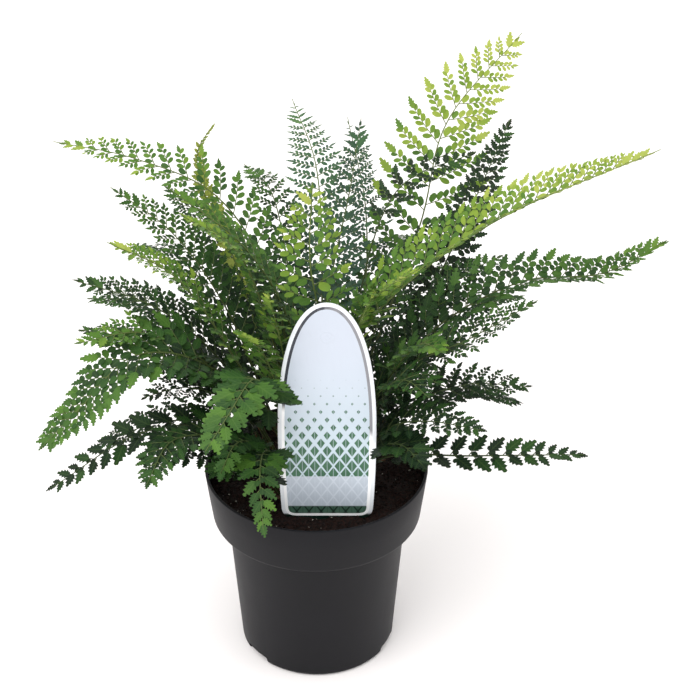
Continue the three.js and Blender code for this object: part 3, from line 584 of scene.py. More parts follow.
printed, tree, skin = new_material("printed glossy plastic")
band = add(tree, "ShaderNodeAttribute", {"attribute_name": "band"}).outputs["Fac"]
uv = add(tree, "ShaderNodeTexCoord").outputs["UV"]
on_plate = add(tree, "ShaderNodeMapping", None,
               {"Vector": uv, "Location": (-LABEL_WIDTH / 2, 0.0, 0.0),
                "Scale": (LABEL_WIDTH, LABEL_HEIGHT, 1.0)})
across, up = add(tree, "ShaderNodeSeparateXYZ", None, {"Vector": on_plate}).outputs[:2]
print("label, mm:", LABEL_WIDTH, "by", LABEL_HEIGHT)

# %% [markdown]
# ## Lattice of lozenges
# Two grids, one shifted by half a step, interleave. Within a cell, the distance across plus the
# distance up from its middle is the same all along a lozenge's edge, so comparing that sum with
# a size draws the lozenge. The size falls with height, and a pale midline splits each one.

# %% Lozenges 6.4 mm apart across and 9.2 mm up
LOZENGE_ACROSS = 6.4
LOZENGE_UP = 9.2
WHOLE_STEPS = 40.5  # keeps the places across above zero and a lozenge on the middle line
MIDDLE = (0.5, 0.5, 0.0)
lozenge_size = add(tree, "ShaderNodeMapRange", SMOOTH,
                   {"Value": up, "From Min": 84.0, "From Max": 27.0, "To Min": 0.04, "To Max": 0.43})
grids = []
for shift in (0.0, 0.5):
    steps = add(tree, "ShaderNodeMapping", None,
                {"Vector": on_plate, "Location": (WHOLE_STEPS + shift, shift, 0.0),
                 "Scale": (1 / LOZENGE_ACROSS, 1 / LOZENGE_UP, 1.0)})
    cell = add(tree, "ShaderNodeVectorMath", {"operation": "FRACTION"}, {0: steps})
    off = add(tree, "ShaderNodeVectorMath", {"operation": "SUBTRACT"}, {0: cell, 1: MIDDLE})
    off = add(tree, "ShaderNodeVectorMath", {"operation": "ABSOLUTE"}, {0: off})
    off_x, off_y = add(tree, "ShaderNodeSeparateXYZ", None, {"Vector": off}).outputs[:2]
    reach = add(tree, "ShaderNodeMath", {"operation": "ADD"}, {0: off_x, 1: off_y})
    inside = add(tree, "ShaderNodeMath", {"operation": "SUBTRACT"}, {0: lozenge_size, 1: reach})
    crisp = add(tree, "ShaderNodeMapRange", SMOOTH,
                {"Value": inside, "From Min": -0.02, "From Max": 0.03})
    midline = add(tree, "ShaderNodeMapRange", SMOOTH,
                  {"Value": off_x, "From Max": 0.05, "To Min": 0.45})
    grids.append(add(tree, "ShaderNodeMath", {"operation": "MULTIPLY"}, {0: crisp, 1: midline}))
lattice = add(tree, "ShaderNodeMath", {"operation": "MAXIMUM"}, {0: grids[0], 1: grids[1]})
print("grids:", len(grids))

# %% [markdown]
# ## Field, band and strip
# Each zone of the print is a colour mixed in by height, with an edge about 0.5 mm soft. Green
# lozenges end at the frosted band, which keeps a faint lattice, and so does the dark strip.

# %% Printed field
BAND_TOP = 26.0
STRIP_TOP = 8.0
above_band = add(tree, "ShaderNodeMapRange", SMOOTH,
                 {"Value": up, "From Min": BAND_TOP - 0.2, "From Max": BAND_TOP + 0.2})
fade = add(tree, "ShaderNodeMapRange", SMOOTH, {"Value": up, "From Min": 88.0, "From Max": 76.0})
green_zone = add(tree, "ShaderNodeMath", {"operation": "MULTIPLY"}, {0: above_band, 1: fade})
green_share = add(tree, "ShaderNodeMath", {"operation": "MULTIPLY"}, {0: lattice, 1: green_zone})
shade = add(tree, "ShaderNodeTexNoise", None, {"Vector": uv, "Scale": 26.0, "Detail": 3.0})
ink = add(tree, "ShaderNodeMix", COLOURS,
          {"Factor": shade, FIRST: linear("#12402a"), SECOND: linear("#3d7350")})
height = add(tree, "ShaderNodeMapRange", SMOOTH,
             {"Value": up, "From Min": 20.0, "From Max": 110.0})
sky = add(tree, "ShaderNodeMix", COLOURS,
          {"Factor": height, FIRST: linear("#b9cad3"), SECOND: linear("#c0c7d3")})
field = add(tree, "ShaderNodeMix", COLOURS, {"Factor": green_share, FIRST: sky, SECOND: ink})
ZONES = [  # top in mm, half its soft edge, share of the lattice, ground, lattice colour
    (BAND_TOP, 0.2, 0.5, "#c6ced8", "#a9b4c0"),
    (STRIP_TOP, 0.3, 0.4, "#0d241b", "#6a8f7a"),
]
for top, edge, share, ground, lines in ZONES:
    below_top = add(tree, "ShaderNodeMapRange", SMOOTH,
                    {"Value": up, "From Min": top + edge, "From Max": top - edge})
    faint = add(tree, "ShaderNodeMath", {"operation": "MULTIPLY"}, {0: lattice, 1: share})
    zone = add(tree, "ShaderNodeMix", COLOURS,
               {"Factor": faint, FIRST: linear(ground), SECOND: linear(lines)})
    field = add(tree, "ShaderNodeMix", COLOURS, {"Factor": below_top, FIRST: field, SECOND: zone})
print("zones below the lozenges:", len(ZONES))

# %% [markdown]
# ## Silver line, rim and relief
# The foil line's reflection of the room is painted as dark and light grey streaks, and a painted
# highlight turns it white below a slanting level. The rim is white plastic, dark green along its
# lowest few millimetres. A small embossed ring marks where such labels are hung, and the sheet
# waves slightly.

# %% Line, rim and relief
HIGHLIGHT_SLANT = 0.35
RING_HEIGHT = 107.0
RING_RADII = (1.2, 3.0)
# Painted reflection: a noise streaks the foil line dark and light grey, for the room mirrored in it.
sheen = add(tree, "ShaderNodeTexNoise", None, {"Vector": uv, "Scale": 9.0})
streak = add(tree, "ShaderNodeMath", {"operation": "MULTIPLY_ADD"}, {0: across, 1: 0.012, 2: sheen})
streak = add(tree, "ShaderNodeMapRange", SMOOTH,
             {"Value": streak, "From Min": 0.35, "From Max": 0.65})
painted_foil_reflection = add(tree, "ShaderNodeMix", COLOURS,
             {"Factor": streak, FIRST: linear("#2e313a"), SECOND: linear("#85858a")})
# Painted highlight: below a slanting level the foil line is painted white.
slant = add(tree, "ShaderNodeMath", {"operation": "MULTIPLY_ADD"}, {0: across, 1: HIGHLIGHT_SLANT, 2: up})
painted_highlight_share = add(tree, "ShaderNodeMapRange", SMOOTH, {"Value": slant, "From Min": 62.0, "From Max": 56.0})
line = add(tree, "ShaderNodeMix", COLOURS,
           {"Factor": painted_highlight_share, FIRST: painted_foil_reflection, SECOND: linear("#fbfcfd")})
on_field = add(tree, "ShaderNodeMath", {"operation": "GREATER_THAN"}, {0: band, 1: 1.5})
inner = add(tree, "ShaderNodeMix", COLOURS, {"Factor": on_field, FIRST: line, SECOND: field})
# The rim turns dark green over its lowest few millimetres, from 4 mm down to 2.5 mm above the foot.
near_foot = add(tree, "ShaderNodeMapRange", SMOOTH, {"Value": up, "From Min": 4.0, "From Max": 2.5})
rim = add(tree, "ShaderNodeMix", COLOURS,
          {"Factor": near_foot, FIRST: linear("#e6eaee"), SECOND: linear("#10231c")})
on_rim = add(tree, "ShaderNodeMath", {"operation": "LESS_THAN"}, {0: band, 1: 0.5})
face_colour = add(tree, "ShaderNodeMix", COLOURS, {"Factor": on_rim, FIRST: inner, SECOND: rim})

from_mark = add(tree, "ShaderNodeVectorMath", {"operation": "DISTANCE"},
                {0: on_plate, 1: (0.0, RING_HEIGHT, 0.0)}).outputs["Value"]
ridges = []
for radius in RING_RADII:
    off = add(tree, "ShaderNodeMath", {"operation": "SUBTRACT"}, {0: from_mark, 1: radius})
    off = add(tree, "ShaderNodeMath", {"operation": "ABSOLUTE"}, {0: off})
    ridges.append(add(tree, "ShaderNodeMapRange", SMOOTH,
                      {"Value": off, "From Min": 0.5, "From Max": 0.0}))
ridge = add(tree, "ShaderNodeMath", {"operation": "MAXIMUM"}, {0: ridges[0], 1: ridges[1]})
ridge = add(tree, "ShaderNodeMath", {"operation": "MULTIPLY"}, {0: ridge, 1: 0.5})
relief = add(tree, "ShaderNodeMath", {"operation": "MULTIPLY_ADD"}, {0: sheen, 1: 2.0, 2: ridge})
embossed = add(tree, "ShaderNodeBump", None,
               {"Strength": 0.5, "Distance": 0.3 * MM, "Height": relief})
feed(skin, {"Base Color": face_colour, "Roughness": 0.28, "IOR": 1.5, "Normal": embossed})
print("nodes in the label's print:", len(tree.nodes))

# %% [markdown]
# ## Label plate
# The plate's outline is drawn as the label maker would: a straight foot with round corners,
# sides that widen a little, and a pointed round head. Insets of the outline carry the rounded
# edge and the printed bands, so the bands end on mesh edges and stay crisp from close by.

# %% Outline of the plate
LABEL_CORNER = 8.0
LABEL_SHOULDER = 0.42
LABEL_PLACE = Vector((6, -34, 102))
LABEL_LEAN_DEG = 4
STAKE_HALF = 6.5
STAKE_LENGTH = 46.0
STAKE_HALF_THICKNESS = 0.36
LABEL_CREASE_DEG = 50


def bezier(points, steps):
    """Points along a Bezier curve of any degree, without its first point."""
    line = []
    for t in np.arange(1, steps + 1) / steps:
        level = [np.array(p, float) for p in points]
        while len(level) > 1:
            level = [lerp(a, b, t) for a, b in zip(level, level[1:])]
        line.append(level[0])
    return line


label_half = LABEL_WIDTH / 2
foot_half = LABEL_FOOT_WIDTH / 2
shoulder = LABEL_HEIGHT * LABEL_SHOULDER
right_side = [np.array((foot_half - LABEL_CORNER, 0.0))]
right_side += bezier([right_side[0], (foot_half, 0), (foot_half, LABEL_CORNER)], 8)
right_side += bezier([right_side[-1], (label_half, shoulder * 0.5), (label_half, shoulder)], 8)
right_side += bezier([right_side[-1], (label_half, LABEL_HEIGHT * 0.78),
                      (label_half * 0.62, LABEL_HEIGHT), (0, LABEL_HEIGHT)], 22)
left_side = [np.array((-p[0], p[1])) for p in right_side[-2::-1]]
plate_outline = np.array(right_side + left_side)

before = np.roll(plate_outline, 1, axis=0)
after = np.roll(plate_outline, -1, axis=0)
way = after - before
outward = np.stack([way[:, 1], -way[:, 0]], axis=1)
outward /= np.linalg.norm(outward, axis=1)[:, None]
print("points round the plate:", len(plate_outline))

# %% Plate and stake
PLATE_LOOPS = [  # inset, depth towards the front
    (0.25, -0.4), (0.06, -0.32), (0.0, -0.2), (0.0, 0.2), (0.06, 0.32), (0.25, 0.4),
    (2.0, 0.4), (3.5, 0.4),
]
lean = Matrix.Rotation(-math.radians(LABEL_LEAN_DEG), 3, "X")
label_verts = []
label_uvs = []


def label_vertex(across, up, depth):
    label_verts.append((LABEL_PLACE + lean @ Vector((across, -depth, up))) * MM)
    label_uvs.append((across / LABEL_WIDTH + 0.5, up / LABEL_HEIGHT))
    return len(label_verts) - 1


loops = [[label_vertex(*(p - inset * n), depth) for p, n in zip(plate_outline, outward)]
         for inset, depth in PLATE_LOOPS]
label_faces = [loops[0][::-1]]
label_bands = [0.0]
count = len(plate_outline)
for row, (low, high) in enumerate(zip(loops, loops[1:])):
    for i in range(count):
        j = (i + 1) % count
        label_faces.append([low[i], low[j], high[j], high[i]])
        label_bands.append(1.0 if row == len(loops) - 2 else 0.0)
label_faces.append(loops[-1])
label_bands.append(2.0)
stake_outline = [(-STAKE_HALF, 1.0), (-STAKE_HALF * 0.7, -STAKE_LENGTH * 0.75), (0, -STAKE_LENGTH),
                 (STAKE_HALF * 0.7, -STAKE_LENGTH * 0.75), (STAKE_HALF, 1.0)]
stake_back = [label_vertex(x, z, -STAKE_HALF_THICKNESS) for x, z in stake_outline]
stake_front = [label_vertex(x, z, STAKE_HALF_THICKNESS) for x, z in stake_outline]
label_faces += [stake_back[::-1], stake_front]
count = len(stake_outline)
for i in range(count):
    j = (i + 1) % count
    label_faces.append([stake_back[i], stake_back[j], stake_front[j], stake_front[i]])
label_bands += [0.0] * (count + 2)
label_mesh = bpy.data.meshes.new("plant label")
label_mesh.from_pydata(label_verts, [], label_faces)
uv_layer = label_mesh.uv_layers.new(name="UVMap")
for loop in label_mesh.loops:
    uv_layer.data[loop.index].uv = label_uvs[loop.vertex_index]
bands = label_mesh.attributes.new("band", "FLOAT", "FACE")
bands.data.foreach_set("value", label_bands)
facing_out(label_mesh)
label_mesh.shade_smooth()
label_mesh.set_sharp_from_angle(angle=math.radians(LABEL_CREASE_DEG))
label_mesh.materials.append(printed)
label = new_object("label_card", label_mesh)
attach(label, "root")
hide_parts("plant_label")
print("label faces:", len(label_mesh.polygons))

# %% [markdown]
# ## Fern leaf
# A shield fern's leaflets are leathery: a waxy upper skin with a soft sheen, dark and slightly
# blue when old, lime when young, and paler beneath. The colour could be painted for each
# frond, but a real plant has one leaf colour that ages. So the material reads numbers that the
# mesh carries: age, which runs from dark to lime and whose darkest end, on the low and back
# fronds, is partly painted shade; tone, a little different on each pinnule; blue for a bluish
# bloom, under for the underside, and dry for the brown papery scales at the stalk's foot.

# %% Leaf colour by age, with painted shade at its dark end
leaf_skin, tree, skin = new_material("waxy fern leaf")
age, tone, under, blue, dry = (
    add(tree, "ShaderNodeAttribute", {"attribute_name": name}).outputs["Fac"]
    for name in ("age", "tone", "under", "blue", "dry"))
place = add(tree, "ShaderNodeTexCoord").outputs["Object"]

# Patches some 15 mm across. In the leaf colour they and each pinnule's tone are partly the leaf's own
# uneven green and partly painted light and shade, for gloss and shading that change from pinnule to
# pinnule.
patches = add(tree, "ShaderNodeTexNoise", None, {"Vector": place, "Scale": 66.0, "Detail": 2.0})
aged_and_shaded = add(tree, "ShaderNodeMath", {"operation": "MULTIPLY_ADD"}, {0: tone, 1: 0.26, 2: age})
aged_and_shaded = add(tree, "ShaderNodeMath", {"operation": "MULTIPLY_ADD"}, {0: patches, 1: 0.3, 2: aged_and_shaded})
aged_and_shaded = add(tree, "ShaderNodeMath", {"operation": "SUBTRACT"}, {0: aged_and_shaded, 1: 0.28})

# From dark to lime. The darkest, near-black stops are partly painted shade for the low and back fronds.
LEAF_AGE_AND_SHADE_COLOURS = [(0.0, "#07130b"), (0.22, "#0e2413"), (0.45, "#28491b"), (0.68, "#4c7025"),
             (0.85, "#788f30"), (1.0, "#9ba64c")]
age_and_shade_ramp = add(tree, "ShaderNodeValToRGB", None, {"Fac": aged_and_shaded})
stops = age_and_shade_ramp.color_ramp.elements
for position, colour in LEAF_AGE_AND_SHADE_COLOURS[1:-1]:
    stops.new(position).color = linear(colour)
stops[0].color = linear(LEAF_AGE_AND_SHADE_COLOURS[0][1])
stops[-1].color = linear(LEAF_AGE_AND_SHADE_COLOURS[-1][1])
bluish = add(tree, "ShaderNodeMath", {"operation": "MULTIPLY"}, {0: blue, 1: 0.5})
green = add(tree, "ShaderNodeMix", COLOURS,
            {"Factor": bluish, FIRST: age_and_shade_ramp, SECOND: linear("#3c5a50")})
print("leaf ages:", len(LEAF_AGE_AND_SHADE_COLOURS))

# %% [markdown]
# ## Veins, underside and bloom
# The pinnule's own UV map lays the veins: the midrib lies at v = 0.5, and side veins leave it
# at a slant, about 0.8 mm apart. The underside is paler. The waxy bloom is rougher in patches,
# and its sheen is kept low, because the white room would wash the dark greens out.

# %% Veins and surface
SIDE_VEINS = 6
VEIN_SLANT = -0.9
uv = add(tree, "ShaderNodeTexCoord").outputs["UV"]
along, beside = add(tree, "ShaderNodeSeparateXYZ", None, {"Vector": uv}).outputs[:2]
off_rib = add(tree, "ShaderNodeMath", {"operation": "SUBTRACT"}, {0: beside, 1: 0.5})
off_rib = add(tree, "ShaderNodeMath", {"operation": "ABSOLUTE"}, {0: off_rib})
midrib = add(tree, "ShaderNodeMapRange", SMOOTH,
             {"Value": off_rib, "From Max": 0.07, "To Min": 1.0, "To Max": 0.0})
wave = add(tree, "ShaderNodeMath", {"operation": "MULTIPLY_ADD"},
           {0: off_rib, 1: VEIN_SLANT, 2: along})
wave = add(tree, "ShaderNodeMath", {"operation": "MULTIPLY"}, {0: wave, 1: 2 * math.pi * SIDE_VEINS})
wave = add(tree, "ShaderNodeMath", {"operation": "COSINE"}, {0: wave})
side_veins = add(tree, "ShaderNodeMapRange", SMOOTH, {"Value": wave, "From Min": 0.7})
veins = add(tree, "ShaderNodeMath", {"operation": "MAXIMUM"}, {0: midrib, 1: side_veins})
pale_veins = add(tree, "ShaderNodeMath", {"operation": "MULTIPLY"}, {0: veins, 1: 0.13})
veined = add(tree, "ShaderNodeMix", COLOURS,
             {"Factor": pale_veins, FIRST: green, SECOND: linear("#6f8a48")})
pale_under = add(tree, "ShaderNodeMath", {"operation": "MULTIPLY"}, {0: under, 1: 0.3})
pale = add(tree, "ShaderNodeMix", COLOURS,
           {"Factor": pale_under, FIRST: veined, SECOND: linear("#4c6842")})
papery_brown = add(tree, "ShaderNodeMix", COLOURS,
                   {"Factor": patches, FIRST: linear("#34210f"), SECOND: linear("#7a5735")})
leaf_or_scale = add(tree, "ShaderNodeMix", COLOURS, {"Factor": dry, FIRST: pale, SECOND: papery_brown})
bloom = add(tree, "ShaderNodeMapRange", None, {"Value": patches, "To Min": 0.36, "To Max": 0.56})
sunken = add(tree, "ShaderNodeBump", {"invert": True},
             {"Strength": 0.35, "Distance": 0.12 * MM, "Height": veins})
feed(skin, {"Base Color": leaf_or_scale, "Roughness": bloom, "Normal": sunken,
            "Specular IOR Level": 0.16})
print("nodes in the leaf:", len(tree.nodes))

# %% [markdown]
# ## Rib and stalk
# The stalks are round and slightly grooved. Some are green and some brown-purple, with chaffy
# scales at the foot. One material covers them all: the mesh carries a number called brown that
# blends from green to brown, and a fine streak runs along the fibres.

# %% Stalk material
stalk_skin, tree, skin = new_material("fibrous fern stalk")
brown, age = (add(tree, "ShaderNodeAttribute", {"attribute_name": name}).outputs["Fac"]
              for name in ("brown", "age"))
place = add(tree, "ShaderNodeTexCoord").outputs["Object"]
# Fibres of about 1 mm.
fibres = add(tree, "ShaderNodeTexNoise", None, {"Vector": place, "Scale": 900.0, "Detail": 3.0})
# Green stalks follow the same number: the frond's age, with painted shade on the low fronds.
greens = add(tree, "ShaderNodeMix", COLOURS,
             {"Factor": age, FIRST: linear("#2f4220"), SECOND: linear("#6f8040")})
browned = add(tree, "ShaderNodeMix", COLOURS,
              {"Factor": brown, FIRST: greens, SECOND: linear("#2e1f14")})
streak = add(tree, "ShaderNodeMapRange", None, {"Value": fibres, "To Min": 0.75, "To Max": 1.2})
streaked = add(tree, "ShaderNodeVectorMath", {"operation": "SCALE"}, {0: browned, "Scale": streak})
grooves = add(tree, "ShaderNodeBump", None,
              {"Strength": 0.4, "Distance": 0.1 * MM, "Height": fibres})
feed(skin, {"Base Color": streaked, "Roughness": 0.55, "Specular IOR Level": 0.25,
            "Normal": grooves})
print("nodes in the stalk:", len(tree.nodes))

# %% [markdown]
# ## Pinnules
# The smallest part of the frond is the pinnule. On the side that points to the frond's tip it
# is rhombic and round-shouldered, on the other side narrow and pointed, and towards its end
# the leaflet runs out in one lobed blade. All three are the same kind of shape: a closed lens
# with a folded midrib, a toothed edge and a few dozen faces. They could be flat cards, but
# they are seen from below and from the side too, so they have a thickness.

# %% One blade
BLADE_THICKNESS = 0.06
LAST_TOOTH = 0.985


def blade_mesh(name, inner, outer, rows, cut, lean, fold, curl, mirror):
    """A closed blade 1 long, along +X, with its upper face to +Z. Each half is given by its
    width and by how steeply its edge rises and falls."""
    def reach(u, half):
        width, rise, fall = half
        widest = rise / (rise + fall)
        return width * (u / widest) ** rise * ((1 - u) / (1 - widest)) ** fall

    verts = []
    uvs = []

    def vertex(u, v, z):
        verts.append((u, v, z - curl * u * u))
        uvs.append((u, 0.5 + 0.5 * v / inner[0]))
        return len(verts) - 1

    top = [vertex(0, 0, 0)]
    low = [top[0]]
    for k in range(1, rows):
        top.append(vertex(k / rows, 0, 0))
        low.append(vertex(k / rows, 0, -BLADE_THICKNESS))
    end = vertex(1, 0, 0)
    top.append(end)
    low.append(end)

    upper_faces = []
    under_faces = []
    rim = set()
    for side, half in ((mirror, inner), (-mirror, outer)):
        edge = [top[0]]
        for j in range(1, 2 * rows):
            u = j / (2 * rows)
            tooth = j % 2 == 1
            wide = reach(u, half) * (1 if tooth else 1 - cut)
            u = min(u + (lean if tooth else -lean / 3), LAST_TOOTH)
            edge.append(vertex(u, side * wide, fold * wide))
        edge.append(end)
        rim |= {frozenset(pair) for pair in zip(edge, edge[1:])}
        for k in range(rows):
            for rib, chosen, flip in ((top, upper_faces, side < 0), (low, under_faces, side > 0)):
                a, b = rib[k], rib[k + 1]
                e0, e1, e2 = edge[2 * k:2 * k + 3]
                for tri in ((a, e1, e0), (a, b, e1), (b, e2, e1)):
                    if len(set(tri)) == 3:
                        chosen.append(tri[::-1] if flip else tri)
    mesh = bpy.data.meshes.new(name)
    mesh.from_pydata(verts, [], upper_faces + under_faces)
    uv_layer = mesh.uv_layers.new(name="UVMap")
    for loop in mesh.loops:
        uv_layer.data[loop.index].uv = uvs[loop.vertex_index]
    below = mesh.attributes.new("under", "FLOAT", "FACE")
    below.data.foreach_set("value", [0.0] * len(upper_faces) + [1.0] * len(under_faces))
    sharp = mesh.attributes.new("sharp_edge", "BOOLEAN", "EDGE")
    sharp.data.foreach_set("value", [frozenset(e.vertices) in rim for e in mesh.edges])
    return mesh


print("thickness of a blade as a share of its length:", BLADE_THICKNESS)

# %% [markdown]
# ## Four forms of leaf
# The fronds of this plant differ: some have round pinnules, some toothed ones, the low ones
# broad blades and the far ones fine ones. Each half blade is given by its width and by how its
# edge rises and falls. "fused" is the share of a leaflet that is one blade, "least" the share
# of the longest leaflet that the last one keeps, and "tip" the end leaf in millimetres.

# %% All blades
FORMS = {
    "round": {"fused": 0.26, "teeth": 0.04, "least": 0.15, "tip": 4.0,
              "upper": ((0.34, 0.55, 0.7), (0.30, 1.0, 0.55)),
              "lower": ((0.26, 0.9, 0.7), (0.25, 0.9, 0.7)), "end": 0.27},
    "toothed": {"fused": 0.40, "teeth": 0.14, "least": 0.22, "tip": 6.0,
                "upper": ((0.46, 0.5, 0.7), (0.40, 0.8, 0.6)),
                "lower": ((0.34, 0.7, 0.7), (0.33, 0.7, 0.7)), "end": 0.30},
    "broad": {"fused": 0.78, "teeth": 0.16, "least": 0.26, "tip": 6.5,
              "upper": ((0.50, 0.5, 0.6), (0.44, 0.8, 0.6)),
              "lower": ((0.42, 0.7, 0.6), (0.40, 0.7, 0.6)), "end": 0.34},
    "fine": {"fused": 0.3, "teeth": 0.06, "least": 0.10, "tip": 3.0,
             "upper": ((0.30, 0.7, 0.8), (0.27, 0.9, 0.7)),
             "lower": ((0.26, 0.8, 0.8), (0.26, 0.8, 0.8)), "end": 0.17},
}
FORM_ORDER = list(FORMS)
UPPER, LOWER, END = 0, 2, 4
SHAPES_A_FORM = 6
CHAFF = SHAPES_A_FORM * len(FORMS)
blades = bpy.data.collections.new("blades")


def add_blade(index, inner, outer, **shape):
    mesh = blade_mesh(f"blade_{index:02d}", inner, outer, **shape)
    blades.objects.link(bpy.data.objects.new(mesh.name, mesh))


for number, form in enumerate(FORMS.values()):
    first = SHAPES_A_FORM * number
    for flipped, mirror in enumerate((1, -1)):
        add_blade(first + UPPER + flipped, *form["upper"], rows=4, cut=form["teeth"], lean=0.03,
                  fold=0.12, curl=0.10, mirror=mirror)
        add_blade(first + LOWER + flipped, *form["lower"], rows=3, cut=form["teeth"], lean=0.03,
                  fold=0.14, curl=0.12, mirror=mirror)
        add_blade(first + END + flipped, (form["end"], 0.45, 0.9), (form["end"], 0.5, 0.9),
                  rows=5, cut=0.42, lean=0.06, fold=0.10, curl=0.06, mirror=mirror)
add_blade(CHAFF, (0.12, 0.5, 0.9), (0.12, 0.5, 0.9), rows=2, cut=0.0, lean=0.0,
          fold=0.3, curl=0.2, mirror=1)

# %% [markdown]
# ## The tree that dresses a frond
# A frond is a rib with side ribs, and pinnules set on them left and right. That is a rule, so
# Geometry Nodes make it: the tree takes a skeleton of edges, turns the edges into tapered
# round ribs, and sets one blade on each point that asks for one, turned out from the rib by
# the splay that the point carries. Each blade is tipped and sized a little at random, from a
# fixed seed.

# %% Geometry Nodes tree for a frond
CARRIED = {"thick": "FLOAT", "run": "FLOAT_VECTOR", "face": "FLOAT_VECTOR", "splay": "FLOAT",
           "leaf": "FLOAT", "form": "INT"}
frond_tree, given, frond_sockets = new_tree("dress frond", {
    "Skeleton": ("NodeSocketGeometry", None),
    "Blades": ("NodeSocketCollection", None),
    "Rib sides": ("NodeSocketInt", 5),
    "Tip at random": ("NodeSocketFloat", math.radians(9)),
    "Size at random": ("NodeSocketFloat", 0.1),
    "Seed": ("NodeSocketInt", 1),
    "Leaf": ("NodeSocketMaterial", None),
    "Stalk": ("NodeSocketMaterial", None),
}, "Frond")
carried = {name: add(frond_tree, "GeometryNodeInputNamedAttribute", {"data_type": kind},
                     {"Name": name}) for name, kind in CARRIED.items()}

# Ribs: each run of edges becomes a tube as thick as the skeleton says.
lines = add(frond_tree, "GeometryNodeMeshToCurve", None, {"Mesh": given["Skeleton"]})
ring = add(frond_tree, "GeometryNodeCurvePrimitiveCircle", None,
           {"Resolution": given["Rib sides"], "Radius": 1.0})
tubes = add(frond_tree, "GeometryNodeCurveToMesh", None,
            {"Curve": lines, "Profile Curve": ring, "Scale": carried["thick"], "Fill Caps": True})
tubes = add(frond_tree, "GeometryNodeSetMaterial", None,
            {"Geometry": tubes, "Material": given["Stalk"]})

# Blades: turned out from the side rib about the leaflet's own face.
out = add(frond_tree, "ShaderNodeVectorRotate", {"rotation_type": "AXIS_ANGLE"},
          {"Vector": carried["run"], "Axis": carried["face"], "Angle": carried["splay"]})
pose = add(frond_tree, "FunctionNodeAxesToRotation", {"primary_axis": "X", "secondary_axis": "Z"},
           {0: out, 1: carried["face"]})
least = add(frond_tree, "ShaderNodeMath", {"operation": "MULTIPLY"},
            {0: given["Tip at random"], 1: -1.0})
shake = add(frond_tree, "FunctionNodeRandomValue", {"data_type": "FLOAT_VECTOR"},
            {0: least, 1: given["Tip at random"], "Seed": given["Seed"]})
shake = add(frond_tree, "FunctionNodeEulerToRotation", None, {0: shake})
pose = add(frond_tree, "FunctionNodeRotateRotation", {"rotation_space": "LOCAL"},
           {0: pose, 1: shake})
small = add(frond_tree, "ShaderNodeMath", {"operation": "SUBTRACT"},
            {0: 1.0, 1: given["Size at random"]})
large = add(frond_tree, "ShaderNodeMath", {"operation": "ADD"},
            {0: 1.0, 1: given["Size at random"]})
vary = add(frond_tree, "FunctionNodeRandomValue", {"data_type": "FLOAT"},
           {2: small, 3: large, "Seed": given["Seed"]})
sized = add(frond_tree, "ShaderNodeMath", {"operation": "MULTIPLY"}, {0: vary, 1: carried["leaf"]})
has_leaf = add(frond_tree, "FunctionNodeCompare",
               {"data_type": "FLOAT", "operation": "GREATER_THAN"}, {0: carried["leaf"], 1: 0.0})
forms = add(frond_tree, "GeometryNodeCollectionInfo", None,
            {"Collection": given["Blades"], "Separate Children": True, "Reset Children": True})
points = add(frond_tree, "GeometryNodeMeshToPoints", None,
             {"Mesh": given["Skeleton"], "Selection": has_leaf})
leaves = add(frond_tree, "GeometryNodeInstanceOnPoints", None,
             {"Points": points, "Instance": forms, "Pick Instance": True,
              "Instance Index": carried["form"], "Rotation": pose, "Scale": sized})

# Each blade draws its own tone, then all become one mesh.
luck = add(frond_tree, "FunctionNodeRandomValue", {"data_type": "FLOAT"}, {"Seed": given["Seed"]})
leaves = add(frond_tree, "GeometryNodeStoreNamedAttribute",
             {"data_type": "FLOAT", "domain": "INSTANCE"},
             {"Geometry": leaves, "Name": "tone", "Value": luck})
leaves = add(frond_tree, "GeometryNodeRealizeInstances", None, {0: leaves})
leaves = add(frond_tree, "GeometryNodeSetMaterial", None,
             {"Geometry": leaves, "Material": given["Leaf"]})
whole = add(frond_tree, "GeometryNodeJoinGeometry", None, {0: tubes})
feed(whole, {0: leaves})
smooth = add(frond_tree, "GeometryNodeSetShadeSmooth", None, {"Geometry": whole})
add(frond_tree, "NodeGroupOutput", None, {0: smooth})
print("nodes in the frond tree:", len(frond_tree.nodes))

# %% [markdown]
# ## The fronds of this plant
# Every frond is grown by the same rule from a few facts, in millimetres and degrees as on the
# drawing: its number, the ring and bearing of its root, the points its rib runs through, the
# share of the rib that is bare, the reach of its longest leaflet, the roll of the blade from
# foot to tip and the lift of the leaflets. Then come its looks: its age from foot to tip, from
# 0 for dark to 1 for lime, where the darkest values on the low and back fronds are partly painted
# shade, the form of its blades, how brown its rib is, how far apart its leaflets stand, how blue
# it is, the sweep of its leaflets from foot to tip, how plump its pinnules are and how far its
# leaflets twist to seek the light.

# %% Facts of the fronds at the front and the sides
RINGS = {"heart": 2.6, "inner": 7, "middle": 12, "outer": 18, "edge": 23.5}
ROOT_LEVEL = 101
MOST_FRONDS = {"roll": (0, 0), "lift": 8, "form": "round", "brown": 0.4, "spacing": 7.8, "blue": 0.0,
               "sweep": (66, 46), "plump": 1.0, "seek": 0.5}


def frond(number, ring, bearing, via, **facts):
    """The facts of one frond: its own, and for the rest those of most fronds."""
    angle = math.radians(bearing)
    root = (RINGS[ring] * math.cos(angle), RINGS[ring] * math.sin(angle), ROOT_LEVEL)
    return {**MOST_FRONDS, **facts, "name": f"frond_{number:02d}", "route": [root, *via]}


